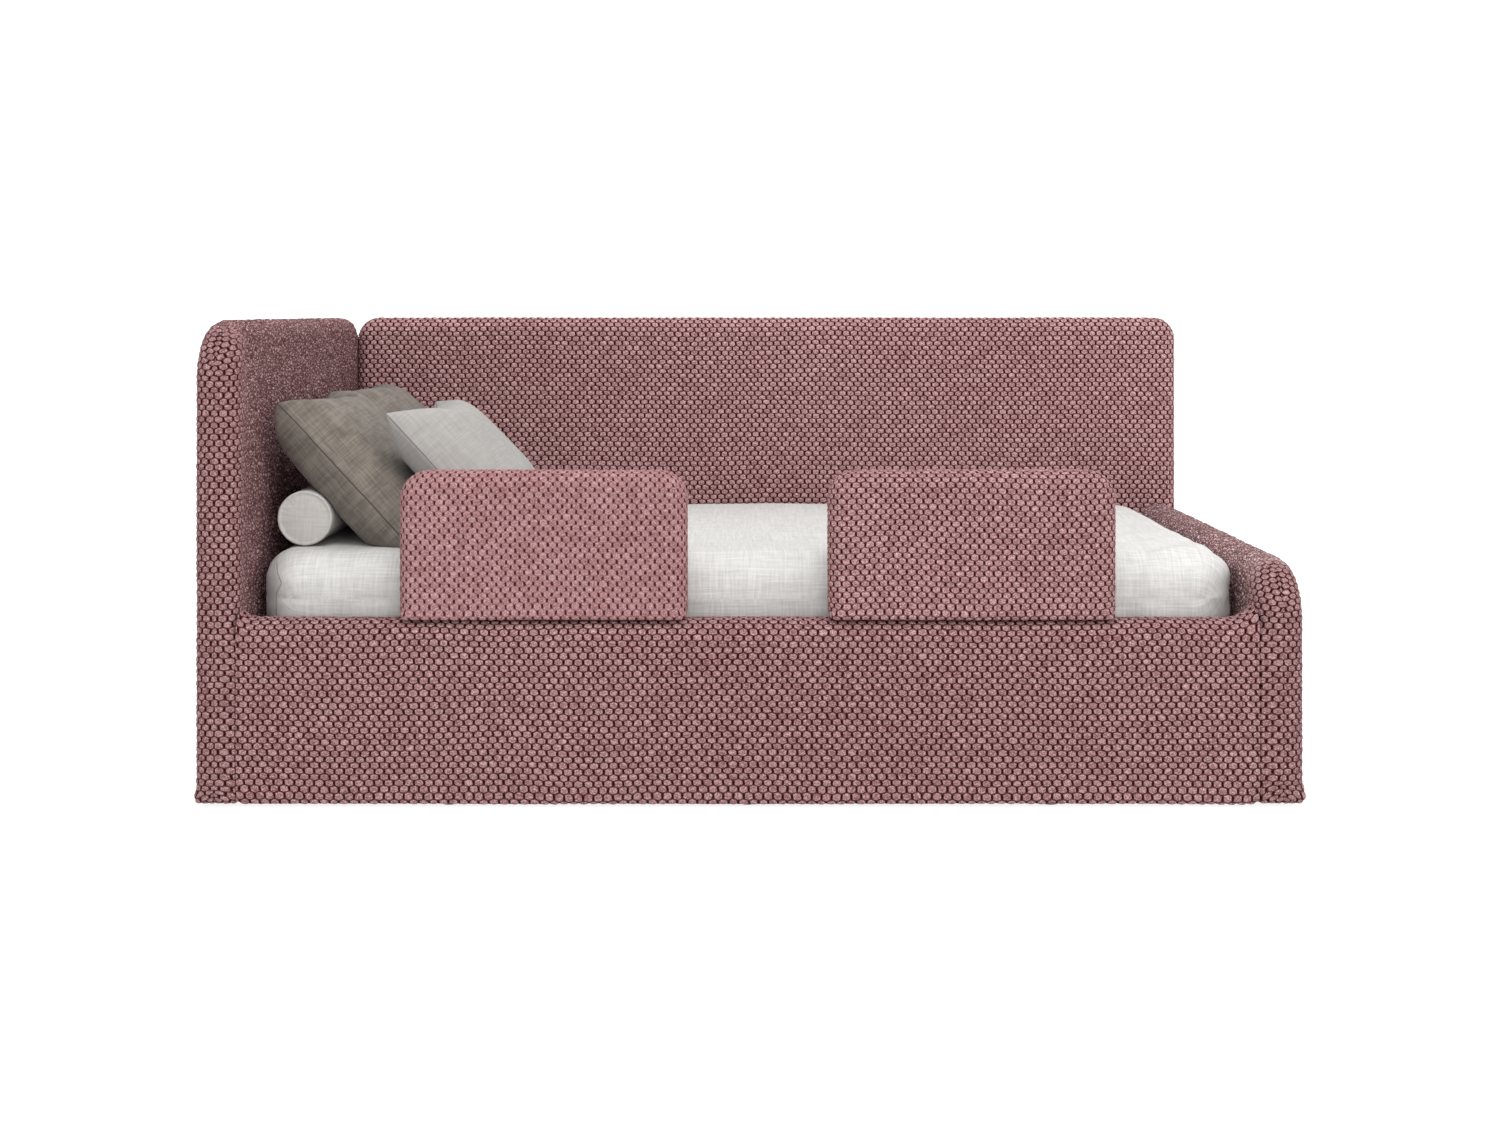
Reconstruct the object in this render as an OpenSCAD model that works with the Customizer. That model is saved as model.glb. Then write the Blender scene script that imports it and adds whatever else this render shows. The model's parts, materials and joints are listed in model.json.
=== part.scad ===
// Upholstered toddler day bed: tall headboard and back panel, low footboard and front board,
// two plug-in guard cushions, a slatted base, a mattress, three pillows and a bolster.
// Origin: centre of the footprint at floor level. +X to the foot end, +Y to the back, +Z up.

/* [Bed] */
// Length over the headboard and the footboard
bed_length = 1764; // [1700:1:1850]
// Depth over the front board and the back panel
bed_depth = 950; // [945:1:970]
// Height of the headboard and the back panel
bed_height = 772; // [700:1:850]
// Height of the front board
front_height = 295; // [285:1:310]
// Height of the footboard
foot_height = 388; // [370:1:460]

/* [Panels] */
// Thickness of the headboard
head_thick = 68; // [66:1:72]
// Thickness of the footboard
foot_thick = 75; // [70:1:80]
// Thickness of the back panel and the front board
side_thick = 70; // [68:1:74]
// Thickness of the plywood boards inside the panels
board_thick = 36; // [30:1:38]
// Radius of the headboard's and footboard's big corners
end_corner_r = 95; // [70:1:110]
// Radius of the back panel's top corners
back_corner_r = 42; // [36:1:60]
// Rounding of the padded edges
edge_r = 28; // [20:1:32]
// Thickness of the woven cover
cover_thick = 2; // [1:0.5:3]

/* [Guards] */
// Width of each guard
guard_width = 457; // [420:1:470]
// Height of each guard
guard_height = 234; // [200:1:260]
// Thickness of each guard
guard_thick = 68; // [60:1:70]
// Centre of the left guard along the bed
guard_left_x = -329; // [-350:1:-300]
// Centre of the right guard along the bed
guard_right_x = 354; // [330:1:380]
// Corner radius of the guards
guard_corner_r = 44; // [34:1:55]
// Rounding of the guards' edges
guard_edge_r = 26; // [16:1:28]

/* [Base] */
// Height of the slats' top above the floor
deck_height = 245; // [235:1:250]
// Number of slats
slat_count = 14; // [12:1:14]
// Width of a slat
slat_width = 70; // [60:1:75]
// Thickness of a slat
slat_thick = 18; // [15:1:20]

/* [Bedding] */
// Length of the mattress
mattress_length = 1600; // [1500:1:1600]
// Width of the mattress
mattress_width = 800; // [780:1:800]
// Thickness of the mattress
mattress_thick = 148; // [120:1:160]
// Diameter of the bolster
bolster_d = 94; // [84:1:94]
// Length of the bolster
bolster_length = 640; // [560:1:640]

/* [Hidden] */
$fn = 32;
form_fn = 24;
gap = 0.4;
fit_gap = 0.05;

// Floor glides under the boards
glide_d = 30;
glide_h = 6;
glide_margin = 90;
front_glides_x = [-480, -4, 480];
back_glides_x = [-700, -240, 240, 780];
nail_r = 1.5;
nail_length = 22;

// Faces of the panels
head_outer_x = -bed_length / 2;
head_inner_x = head_outer_x + head_thick;
foot_outer_x = bed_length / 2;
foot_inner_x = foot_outer_x - foot_thick;
front_outer_y = -bed_depth / 2;
front_inner_y = front_outer_y + side_thick;
back_outer_y = bed_depth / 2;
back_inner_y = back_outer_y - side_thick;
inner_length = foot_inner_x - head_inner_x;
inner_mid_x = (foot_inner_x + head_inner_x) / 2;
tall = bed_height - glide_h;
foot_tall = foot_height - glide_h;
front_tall = front_height - glide_h;
foot_length = back_inner_y - front_outer_y;
back_length = foot_outer_x - head_inner_x;

// Padding between a board and the outside of its panel
head_pad = (head_thick - board_thick) / 2;
foot_pad = (foot_thick - board_thick) / 2;
side_pad = (side_thick - board_thick) / 2;
foot_edge_r = 36;
bottom_r = 6;
core_edge = 3;

// Ledgers that carry the slats
ledger_w = 30;
ledger_h = 40;
ledger_z = deck_height - slat_thick - ledger_h;
ledger_length = inner_length - 4;
ledger_screws_each = 6;
ledger_screw_margin = 80;
ledger_screw_drop = 8;
ledger_screw_pitch = (ledger_length - 2 * ledger_screw_margin) / (ledger_screws_each - 1);
ledger_screw_r = 3;
ledger_screw_length = 66;
screw_head_h = 3;

// Slats
slat_length = back_inner_y - front_inner_y - 4;
slat_margin = 20;
slat_pitch = (inner_length - 2 * slat_margin - slat_width) / (slat_count - 1);
slat_screw_r = 2;
slat_screw_length = 40;
slat_head_r = 4;
slat_head_h = 2.5;

// Steel corner brackets, their bolts and the inserts in the boards
bracket_arm = 42;
bracket_h = 112;
bracket_z = 62;
bracket_t = 3;
bolt_offset = 26;
bolt_rise = [26, 86];
bolt_r = 4;
bolt_length = 42;
bolt_head_r = 8;
bolt_head_h = 4.5;
insert_r = 6;
insert_length = 24;
insert_depth = max(head_pad, foot_pad, side_pad);

// Each bracket stands in an inner corner: [x, y, direction along X, direction along Y]
bracket_corners = [
  [head_inner_x, front_inner_y, 1, 1],
  [head_inner_x, back_inner_y, 1, -1],
  [foot_inner_x, front_inner_y, -1, 1],
  [foot_inner_x, back_inner_y, -1, -1]
];

// Guard pins and the sockets that they plug into
guard_z = front_height + 2.5;
guard_y = (front_outer_y + front_inner_y) / 2;
guard_core_thick = 24;
guard_pad = (guard_thick - guard_core_thick) / 2;
pin_r = 6;
pin_drop = 76;
pin_hold = 96;
pin_spacing = 280;
socket_r = 9;
socket_length = 84;
flange_r = 13;
flange_h = 2;
pin_clearance = 0.05;
pin_points = [
  guard_left_x - pin_spacing / 2, guard_left_x + pin_spacing / 2,
  guard_right_x - pin_spacing / 2, guard_right_x + pin_spacing / 2
];

// Mattress
sheet_thick = 6;
mattress_x = inner_mid_x;
mattress_edge_r = 52;
mattress_corner_r = 80;
mattress_z = deck_height + gap;
bed_top = mattress_z + mattress_thick;

// Room between a filling and its cover
fill_gap = 0.2;

// Bolster, lying across the bed in the angle under the pillows
bolster_x = head_inner_x + 70;
bolster_end_r = 10;
bolster_front_y = -317;
bolster_skin = 2;

// Pillows: [centre along X, Y, Z], [size up the slope, size across], [upper, lower half thickness]
pillow_lean = 47.5;
pillow_skin = 2;
grey_size = [330, 372];
grey_belly = [70, 44];
grey_front_at = [-676, -164, 520];
grey_rear_at = [-676, 215, 520];
white_size = [302, 452];
white_belly = [76, 44];
white_at = [-505, -120, 509];

// Colours
plywood = [0.80, 0.66, 0.46];
pine = [0.88, 0.74, 0.52];
birch = [0.86, 0.76, 0.58];
foam = [0.93, 0.90, 0.80];
rose = [0.56, 0.40, 0.40];
steel = [0.62, 0.63, 0.65];
plastic = [0.15, 0.15, 0.16];
linen = [0.87, 0.87, 0.85];
grey = [0.51, 0.48, 0.45];
cream = [0.74, 0.73, 0.71];
fill = [0.96, 0.96, 0.95];

// ---- Shared forms ----

// Rounded end of a padded slab: big corner at the top, rolled edges, small bottom edge
module round_end(w, h, t, corner, roll) {
  for (side = [-1, 1]) {
    translate([w / 2 - corner, side * (t / 2 - roll), h - corner])
      rotate([90, 0, 0])
        rotate_extrude($fn = form_fn * 2)
          intersection() {
            translate([corner - roll, 0])
              circle(roll, $fn = form_fn);
            translate([0, -roll])
              square([corner, 2 * roll]);
          }
    translate([w / 2 - roll, side * (t / 2 - roll), 0])
      cylinder(r1 = roll - bottom_r, r2 = roll, h = bottom_r, $fn = form_fn);
  }
}

// Padded slab along X, standing on Z = 0. A corner radius of 0 cuts that end off flat.
module padded_slab(w, h, t, corner_minus, corner_plus, roll, inset = 0) {
  iw = w - 2 * inset;
  ih = h - 2 * inset;
  it = t - 2 * inset;
  translate([0, 0, inset])
    intersection() {
      hull() {
        slab_end(iw, ih, it, corner_plus, roll, inset);
        mirror([1, 0, 0])
          slab_end(iw, ih, it, corner_minus, roll, inset);
      }
      translate([-iw / 2, -t, -h])
        cube([iw, 2 * t, 3 * h]);
    }
}

// One end of the slab. An end that is cut off flat is made longer first.
module slab_end(w, h, t, corner, roll, inset) {
  beyond = corner > 0 ? 0 : 2 * roll;
  kept = corner > 0 ? corner : 1.5 * roll;
  round_end(w + 2 * beyond, h, t, kept - inset, roll - inset);
}

// Plywood board along X with rounded or square top corners
module board(w, h, t, corner_minus, corner_plus) {
  translate([0, t / 2, 0])
    rotate([90, 0, 0])
      linear_extrude(t)
        union() {
          translate([-w / 2, 0])
            square([w, h - max(corner_minus, corner_plus)]);
          translate([-w / 2 + corner_minus, 0])
            square([w - corner_minus - corner_plus, h]);
          board_corner(w, h, corner_plus, max(corner_minus, corner_plus));
          mirror([1, 0])
            board_corner(w, h, corner_minus, max(corner_minus, corner_plus));
        }
}

// Top corner of a board's outline
module board_corner(w, h, corner, shoulder) {
  if (corner > 0)
    intersection() {
      translate([w / 2 - corner, h - corner])
        circle(corner, $fn = 64);
      translate([w / 2 - corner, h - shoulder])
        square([corner, shoulder]);
    }
}

// ---- Placing the panels: each is made along X and stood in its place ----

module at_headboard() {
  translate([(head_outer_x + head_inner_x) / 2, 0, glide_h])
    rotate([0, 0, 90])
      children();
}

module at_footboard() {
  translate([(foot_outer_x + foot_inner_x) / 2, (front_outer_y + back_inner_y) / 2, glide_h])
    rotate([0, 0, 90])
      children();
}

module at_back_panel() {
  translate([(head_inner_x + foot_outer_x) / 2, (back_outer_y + back_inner_y) / 2, glide_h])
    children();
}

module at_front_board() {
  translate([inner_mid_x, (front_outer_y + front_inner_y) / 2, glide_h])
    children();
}

module headboard_form(inset) {
  at_headboard()
    padded_slab(bed_depth, tall, head_thick, end_corner_r, end_corner_r, edge_r, inset);
}

module headboard_board(grow = 0) {
  at_headboard()
    translate([0, 0, cover_thick])
      board(bed_depth - 2 * head_pad + 2 * grow, tall - cover_thick - head_pad + grow,
            board_thick + 2 * grow, end_corner_r - head_pad + grow, end_corner_r - head_pad + grow);
}

module footboard_form(inset) {
  at_footboard()
    padded_slab(foot_length, foot_tall, foot_thick, end_corner_r, 0, foot_edge_r, inset);
}

module footboard_board(grow = 0) {
  at_footboard()
    translate([(foot_pad - cover_thick - core_edge) / 2, 0, cover_thick])
      board(foot_length - foot_pad - cover_thick - core_edge + 2 * grow,
            foot_tall - cover_thick - foot_pad + grow, board_thick + 2 * grow,
            end_corner_r - foot_pad + grow, 0);
}

module back_panel_form(inset) {
  at_back_panel()
    padded_slab(back_length, tall, side_thick, back_corner_r, back_corner_r, edge_r, inset);
}

module back_panel_board(grow = 0) {
  at_back_panel()
    translate([0, 0, cover_thick])
      board(back_length - 2 * side_pad + 2 * grow, tall - cover_thick - side_pad + grow,
            board_thick + 2 * grow, back_corner_r - side_pad + grow,
            back_corner_r - side_pad + grow);
}

module front_board_form(inset) {
  at_front_board()
    padded_slab(inner_length, front_tall, side_thick, 0, 0, edge_r, inset);
}

module front_board_board(grow = 0) {
  at_front_board()
    translate([0, 0, cover_thick])
      board(inner_length - 2 * (cover_thick + core_edge) + 2 * grow,
            front_tall - cover_thick - side_pad + grow, board_thick + 2 * grow, 0, 0);
}

// ---- Fastener places ----

// Puts a bolt, made along +Z and entering a panel along -Z, at every bracket hole
module at_bracket_bolts() {
  for (c = bracket_corners)
    for (rise = bolt_rise) {
      translate([c[0] + c[2] * bracket_t, c[1] + c[3] * bolt_offset, bracket_z + rise])
        rotate([0, c[2] * 90, 0])
          children();
      translate([c[0] + c[2] * bolt_offset, c[1] + c[3] * bracket_t, bracket_z + rise])
        rotate([-c[3] * 90, 0, 0])
          children();
    }
}

// Hole for a bracket bolt through cover, foam and board
module bolt_bore(r) {
  at_bracket_bolts()
    translate([0, 0, -bolt_length - 1])
      cylinder(r = r, h = bolt_length + 3);
}

// Hole for a threaded insert
module insert_bore(r) {
  at_bracket_bolts()
    translate([0, 0, -bracket_t - insert_depth - insert_length])
      cylinder(r = r, h = insert_length);
}

// Puts a ledger screw, made along +Z, at every ledger hole of the side: -1 front, 1 back
module at_ledger_screws(side) {
  for (i = [0 : ledger_screws_each - 1])
    translate([inner_mid_x + (i - (ledger_screws_each - 1) / 2) * ledger_screw_pitch,
               side * (back_inner_y - ledger_w), ledger_z + ledger_h / 2 - ledger_screw_drop])
      rotate([side * 90, 0, 0])
        children();
}

module ledger_screw_bore(side, r) {
  at_ledger_screws(side)
    translate([0, 0, -ledger_screw_length - 1])
      cylinder(r = r, h = ledger_screw_length + 2);
}

module at_glides() {
  for (y = [front_outer_y + glide_margin, back_outer_y - glide_margin])
    translate([(head_outer_x + head_inner_x) / 2, y, 0])
      children();
  translate([(foot_outer_x + foot_inner_x) / 2, front_outer_y + glide_margin, 0])
    children();
  for (x = front_glides_x)
    translate([x, guard_y, 0])
      children();
  for (x = back_glides_x)
    translate([x, -guard_y, 0])
      children();
}

module nail_bore() {
  at_glides()
    translate([0, 0, glide_h - 1])
      cylinder(r = nail_r + fit_gap, h = nail_length + 2, $fn = 16);
}

module socket_bore(r) {
  for (x = pin_points)
    translate([x, guard_y, front_height - socket_length])
      cylinder(r = r, h = socket_length + 4);
}

// Every hole that runs through a cover and its foam
module cover_bores() {
  bolt_bore(bolt_r + 0.5);
  ledger_screw_bore(-1, ledger_screw_r + 0.3);
  ledger_screw_bore(1, ledger_screw_r + 0.3);
  nail_bore();
}

// Every hole in a plywood board
module board_bores() {
  bolt_bore(bolt_r + 0.5);
  insert_bore(insert_r + fit_gap);
  ledger_screw_bore(-1, ledger_screw_r + fit_gap);
  ledger_screw_bore(1, ledger_screw_r + fit_gap);
  nail_bore();
}

// ---- Panels ----

module headboard_core() {
  color(plywood) difference() {
    headboard_board();
    board_bores();
  }
}

module headboard_foam() {
  color(foam) difference() {
    headboard_form(cover_thick + fit_gap);
    headboard_board(fit_gap);
    cover_bores();
  }
}

module headboard_cover() {
  color(rose) difference() {
    headboard_form(0);
    headboard_form(cover_thick);
    cover_bores();
  }
}

module back_panel_core() {
  color(plywood) difference() {
    back_panel_board();
    board_bores();
  }
}

module back_panel_foam() {
  color(foam) difference() {
    back_panel_form(cover_thick + fit_gap);
    back_panel_board(fit_gap);
    cover_bores();
  }
}

module back_panel_cover() {
  color(rose) difference() {
    back_panel_form(0);
    back_panel_form(cover_thick);
    cover_bores();
  }
}

module footboard_core() {
  color(plywood) difference() {
    footboard_board();
    board_bores();
  }
}

module footboard_foam() {
  color(foam) difference() {
    footboard_form(cover_thick + fit_gap);
    footboard_board(fit_gap);
    cover_bores();
  }
}

module footboard_cover() {
  color(rose) difference() {
    footboard_form(0);
    footboard_form(cover_thick);
    cover_bores();
  }
}

module front_board_core() {
  color(plywood) difference() {
    front_board_board();
    board_bores();
    socket_bore(socket_r + fit_gap);
  }
}

module front_board_foam() {
  color(foam) difference() {
    front_board_form(cover_thick + fit_gap);
    front_board_board(fit_gap);
    cover_bores();
    socket_bore(socket_r + fit_gap);
  }
}

module front_board_cover() {
  color(rose) difference() {
    front_board_form(0);
    front_board_form(cover_thick);
    cover_bores();
    socket_bore(socket_r + fit_gap);
  }
}

// ---- Base ----

module slat_x(i) {
  translate([head_inner_x + slat_margin + slat_width / 2 + i * slat_pitch, 0, 0])
    children();
}

module slat_bores(r) {
  for (i = [0 : slat_count - 1], side = [-1, 1])
    slat_x(i)
      translate([0, side * (back_inner_y - ledger_w / 2), deck_height - slat_screw_length - 1])
        cylinder(r = r, h = slat_screw_length + 2, $fn = 16);
}

module ledger(side) {
  color(pine) difference() {
    translate([inner_mid_x - ledger_length / 2,
               side > 0 ? back_inner_y - ledger_w : front_inner_y, ledger_z])
      cube([ledger_length, ledger_w, ledger_h]);
    ledger_screw_bore(side, ledger_screw_r + fit_gap);
    slat_bores(slat_screw_r + fit_gap);
  }
}

module front_ledger() { ledger(-1); }
module back_ledger() { ledger(1); }

module ledger_screws() {
  color(steel)
    for (side = [-1, 1])
      at_ledger_screws(side) {
        translate([0, 0, -ledger_screw_length])
          cylinder(r = ledger_screw_r, h = ledger_screw_length);
        cylinder(r = 2 * ledger_screw_r, h = screw_head_h);
      }
}

module slat(i) {
  if (i < slat_count)
    color(birch) slat_x(i) difference() {
      translate([-slat_width / 2, -slat_length / 2, deck_height - slat_thick])
        cube([slat_width, slat_length, slat_thick]);
      for (side = [-1, 1])
        translate([0, side * (back_inner_y - ledger_w / 2), deck_height - slat_thick - 1]) {
          cylinder(r = slat_screw_r + fit_gap, h = slat_thick + 2, $fn = 16);
          translate([0, 0, 1 + slat_thick - slat_head_h - fit_gap])
            cylinder(r = slat_head_r + fit_gap, h = slat_head_h + 2);
        }
    }
}

module slat_screws() {
  color(steel)
    for (i = [0 : slat_count - 1], side = [-1, 1])
      slat_x(i)
        translate([0, side * (back_inner_y - ledger_w / 2), deck_height]) {
          translate([0, 0, -slat_screw_length])
            cylinder(r = slat_screw_r, h = slat_screw_length, $fn = 16);
          translate([0, 0, -slat_head_h])
            cylinder(r = slat_head_r, h = slat_head_h);
        }
}

module bracket(corner) {
  color(steel) difference() {
    translate([corner[0], corner[1], bracket_z])
      mirror([corner[2] < 0 ? 1 : 0, 0, 0])
        mirror([0, corner[3] < 0 ? 1 : 0, 0])
          union() {
            cube([bracket_arm, bracket_t, bracket_h]);
            cube([bracket_t, bracket_arm, bracket_h]);
          }
    bolt_bore(bolt_r + fit_gap);
  }
}

module bracket_head_front() { bracket(bracket_corners[0]); }
module bracket_head_back() { bracket(bracket_corners[1]); }
module bracket_foot_front() { bracket(bracket_corners[2]); }
module bracket_foot_back() { bracket(bracket_corners[3]); }

// Button-head bolts with a hexagon socket
module bracket_bolts() {
  color(steel)
    at_bracket_bolts()
      difference() {
        union() {
          translate([0, 0, -bolt_length])
            cylinder(r = bolt_r, h = bolt_length);
          cylinder(r = bolt_head_r, h = bolt_head_h);
        }
        translate([0, 0, 1.5])
          cylinder(r = 2.9, h = bolt_head_h, $fn = 6);
      }
}

module threaded_inserts() {
  color(steel)
    at_bracket_bolts()
      translate([0, 0, -bracket_t - insert_depth - insert_length])
        difference() {
          cylinder(r = insert_r, h = insert_length);
          translate([0, 0, -1])
            cylinder(r = bolt_r + fit_gap, h = insert_length + 2);
        }
}

module floor_glides() {
  color(plastic)
    at_glides() {
      cylinder(r1 = glide_d / 2 - 1.5, r2 = glide_d / 2, h = 2);
      translate([0, 0, 2])
        cylinder(r = glide_d / 2, h = glide_h - 2);
      translate([0, 0, glide_h])
        cylinder(r = nail_r, h = nail_length - glide_h, $fn = 16);
    }
}

// Flanged tubes in the top of the front board
module guard_sockets() {
  color(steel)
    for (x = pin_points)
      translate([x, guard_y, 0])
        difference() {
          union() {
            translate([0, 0, front_height - socket_length])
              cylinder(r = socket_r, h = socket_length);
            translate([0, 0, front_height])
              cylinder(r = flange_r, h = flange_h);
          }
          translate([0, 0, front_height - socket_length - 1])
            cylinder(r = pin_r + pin_clearance, h = socket_length + flange_h + 2);
        }
}

// ---- Guards ----

module guard_form(x, inset) {
  translate([x, guard_y, guard_z])
    padded_slab(guard_width, guard_height, guard_thick, guard_corner_r, guard_corner_r,
                guard_edge_r, inset);
}

module guard_board(x, grow = 0) {
  translate([x, guard_y, guard_z + cover_thick])
    board(guard_width - 2 * guard_pad + 2 * grow, guard_height - cover_thick - guard_pad + grow,
          guard_core_thick + 2 * grow, guard_corner_r - guard_pad + grow,
          guard_corner_r - guard_pad + grow);
}

module guard_pin_bores(x, r) {
  for (side = [-1, 1])
    translate([x + side * pin_spacing / 2, guard_y, guard_z - 1])
      cylinder(r = r, h = pin_hold + 1);
}

module guard_core(x) {
  color(birch) difference() {
    guard_board(x);
    guard_pin_bores(x, pin_r + fit_gap);
  }
}

module guard_foam(x) {
  color(foam) difference() {
    guard_form(x, cover_thick + fit_gap);
    guard_board(x, fit_gap);
    guard_pin_bores(x, pin_r + fit_gap);
  }
}

module guard_cover(x) {
  color(rose) difference() {
    guard_form(x, 0);
    guard_form(x, cover_thick);
    guard_pin_bores(x, pin_r + fit_gap);
  }
}

module guard_pins(x) {
  color(steel)
    for (side = [-1, 1])
      translate([x + side * pin_spacing / 2, guard_y, guard_z - pin_drop])
        union() {
          cylinder(r1 = pin_r - 1.5, r2 = pin_r, h = 3);
          translate([0, 0, 3])
            cylinder(r = pin_r, h = pin_drop + pin_hold - 4);
        }
}

module guard_left_core() { guard_core(guard_left_x); }
module guard_left_foam() { guard_foam(guard_left_x); }
module guard_left_cover() { guard_cover(guard_left_x); }
module guard_left_pins() { guard_pins(guard_left_x); }
module guard_right_core() { guard_core(guard_right_x); }
module guard_right_foam() { guard_foam(guard_right_x); }
module guard_right_cover() { guard_cover(guard_right_x); }
module guard_right_pins() { guard_pins(guard_right_x); }

// ---- Mattress ----

module mattress_form(inset) {
  roll = mattress_edge_r - inset;
  hull()
    for (x = [-1, 1], y = [-1, 1], z = [mattress_edge_r, mattress_thick - mattress_edge_r])
      translate([mattress_x + x * (mattress_length / 2 - mattress_corner_r),
                 y * (mattress_width / 2 - mattress_corner_r), mattress_z + z])
        rotate_extrude($fn = form_fn)
          intersection() {
            translate([mattress_corner_r - mattress_edge_r, 0])
              circle(roll, $fn = form_fn);
            translate([0, -roll])
              square([mattress_corner_r, 2 * roll]);
          }
}

module mattress_foam() {
  color(foam) mattress_form(sheet_thick + fit_gap);
}

module mattress_sheet() {
  color(linen) difference() {
    mattress_form(0);
    mattress_form(sheet_thick);
  }
}

// ---- Bolster ----

module bolster_form(inset) {
  r = bolster_d / 2 - inset;
  er = bolster_end_r - inset;
  translate([bolster_x, bolster_front_y + inset, bed_top + gap + bolster_d / 2])
    rotate([-90, 0, 0])
      rotate_extrude($fn = 48)
        union() {
          square([r - er, bolster_length - 2 * inset]);
          translate([0, er])
            square([r, bolster_length - 2 * inset - 2 * er]);
          for (z = [er, bolster_length - 2 * inset - er])
            translate([r - er, z])
              circle(er, $fn = form_fn);
        }
}

module bolster_filling() {
  color(fill) bolster_form(bolster_skin + fill_gap);
}

module bolster_cover() {
  color(cream) difference() {
    bolster_form(0);
    bolster_form(bolster_skin);
  }
}

// ---- Pillows ----

// Crowned pillow that leans back towards the headboard
module pillow_form(at, size, belly, inset) {
  half = (belly[0] + belly[1]) / 2 - inset;
  translate(at)
    rotate([0, pillow_lean, 0])
      hull() {
        for (x = [-1, 1], y = [-1, 1])
          translate([x * (size[0] / 2 - 9), y * (size[1] / 2 - 9), 0])
            sphere(9 - inset, $fn = 16);
        translate([0, 0, (belly[0] - belly[1]) / 2])
          scale([size[0] * 0.37 / half, size[1] * 0.37 / half, 1])
            sphere(half, $fn = form_fn);
      }
}

module pillow_filling(at, size, belly) {
  color(fill) pillow_form(at, size, belly, pillow_skin + fill_gap);
}

module pillow_cover(at, size, belly, tint) {
  color(tint) difference() {
    pillow_form(at, size, belly, 0);
    pillow_form(at, size, belly, pillow_skin);
  }
}

module grey_pillow_front_filling() { pillow_filling(grey_front_at, grey_size, grey_belly); }
module grey_pillow_front_cover() { pillow_cover(grey_front_at, grey_size, grey_belly, grey); }
module grey_pillow_rear_filling() { pillow_filling(grey_rear_at, grey_size, grey_belly); }
module grey_pillow_rear_cover() { pillow_cover(grey_rear_at, grey_size, grey_belly, grey); }
module white_pillow_filling() { pillow_filling(white_at, white_size, white_belly); }
module white_pillow_cover() { pillow_cover(white_at, white_size, white_belly, cream); }

// ---- Nodes ----

headboard_core();
headboard_foam();
headboard_cover();
back_panel_core();
back_panel_foam();
back_panel_cover();
footboard_core();
footboard_foam();
footboard_cover();
front_board_core();
front_board_foam();
front_board_cover();
front_ledger();
back_ledger();
ledger_screws();
slat(0);  // slat_01
slat(1);  // slat_02
slat(2);  // slat_03
slat(3);  // slat_04
slat(4);  // slat_05
slat(5);  // slat_06
slat(6);  // slat_07
slat(7);  // slat_08
slat(8);  // slat_09
slat(9);  // slat_10
slat(10);  // slat_11
slat(11);  // slat_12
slat(12);  // slat_13
slat(13);  // slat_14
slat_screws();
bracket_head_front();
bracket_head_back();
bracket_foot_front();
bracket_foot_back();
bracket_bolts();
threaded_inserts();
floor_glides();
guard_sockets();
guard_left_core();
guard_left_foam();
guard_left_cover();
guard_left_pins();
guard_right_core();
guard_right_foam();
guard_right_cover();
guard_right_pins();
mattress_foam();
mattress_sheet();
bolster_filling();
bolster_cover();
grey_pillow_front_filling();
grey_pillow_front_cover();
grey_pillow_rear_filling();
grey_pillow_rear_cover();
white_pillow_filling();
white_pillow_cover();
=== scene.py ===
"""Looks of an upholstered toddler day bed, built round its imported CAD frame.

Metres, +X to the foot, +Y to the back, +Z up."""
import json
import math

import bmesh
import bpy
import numpy as np
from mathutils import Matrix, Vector
from mathutils.bvhtree import BVHTree


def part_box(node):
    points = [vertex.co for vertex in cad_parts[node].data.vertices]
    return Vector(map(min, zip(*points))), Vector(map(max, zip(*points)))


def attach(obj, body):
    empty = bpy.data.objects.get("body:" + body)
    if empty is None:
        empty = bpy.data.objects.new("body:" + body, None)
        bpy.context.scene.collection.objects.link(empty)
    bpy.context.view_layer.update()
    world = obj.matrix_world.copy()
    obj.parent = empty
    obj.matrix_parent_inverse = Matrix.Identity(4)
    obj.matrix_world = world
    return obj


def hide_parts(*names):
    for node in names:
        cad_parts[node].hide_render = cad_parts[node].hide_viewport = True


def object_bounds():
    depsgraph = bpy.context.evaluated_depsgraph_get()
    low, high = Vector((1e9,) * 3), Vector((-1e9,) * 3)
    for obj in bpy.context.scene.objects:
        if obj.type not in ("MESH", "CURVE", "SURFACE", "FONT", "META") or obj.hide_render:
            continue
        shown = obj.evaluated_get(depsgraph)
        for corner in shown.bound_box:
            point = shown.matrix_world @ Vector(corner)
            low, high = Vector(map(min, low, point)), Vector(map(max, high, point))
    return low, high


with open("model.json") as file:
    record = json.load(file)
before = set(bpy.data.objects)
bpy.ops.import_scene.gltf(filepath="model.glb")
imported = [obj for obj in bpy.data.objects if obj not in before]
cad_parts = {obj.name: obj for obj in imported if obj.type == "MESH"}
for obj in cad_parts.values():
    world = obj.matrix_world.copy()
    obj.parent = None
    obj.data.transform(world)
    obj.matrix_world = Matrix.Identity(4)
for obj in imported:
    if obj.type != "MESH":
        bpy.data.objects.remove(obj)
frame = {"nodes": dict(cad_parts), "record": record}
cad_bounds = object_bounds()
CAD_LOW = cad_bounds[0]
scene = bpy.context.scene

# ---------------------------------------------------------------- camera

CAMERA_DISTANCE = 2.865   # from the front of the bed
CAMERA_HEIGHT = 0.788
CAMERA_LENS = 43.45
CAMERA_SHIFT = -0.168


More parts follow.
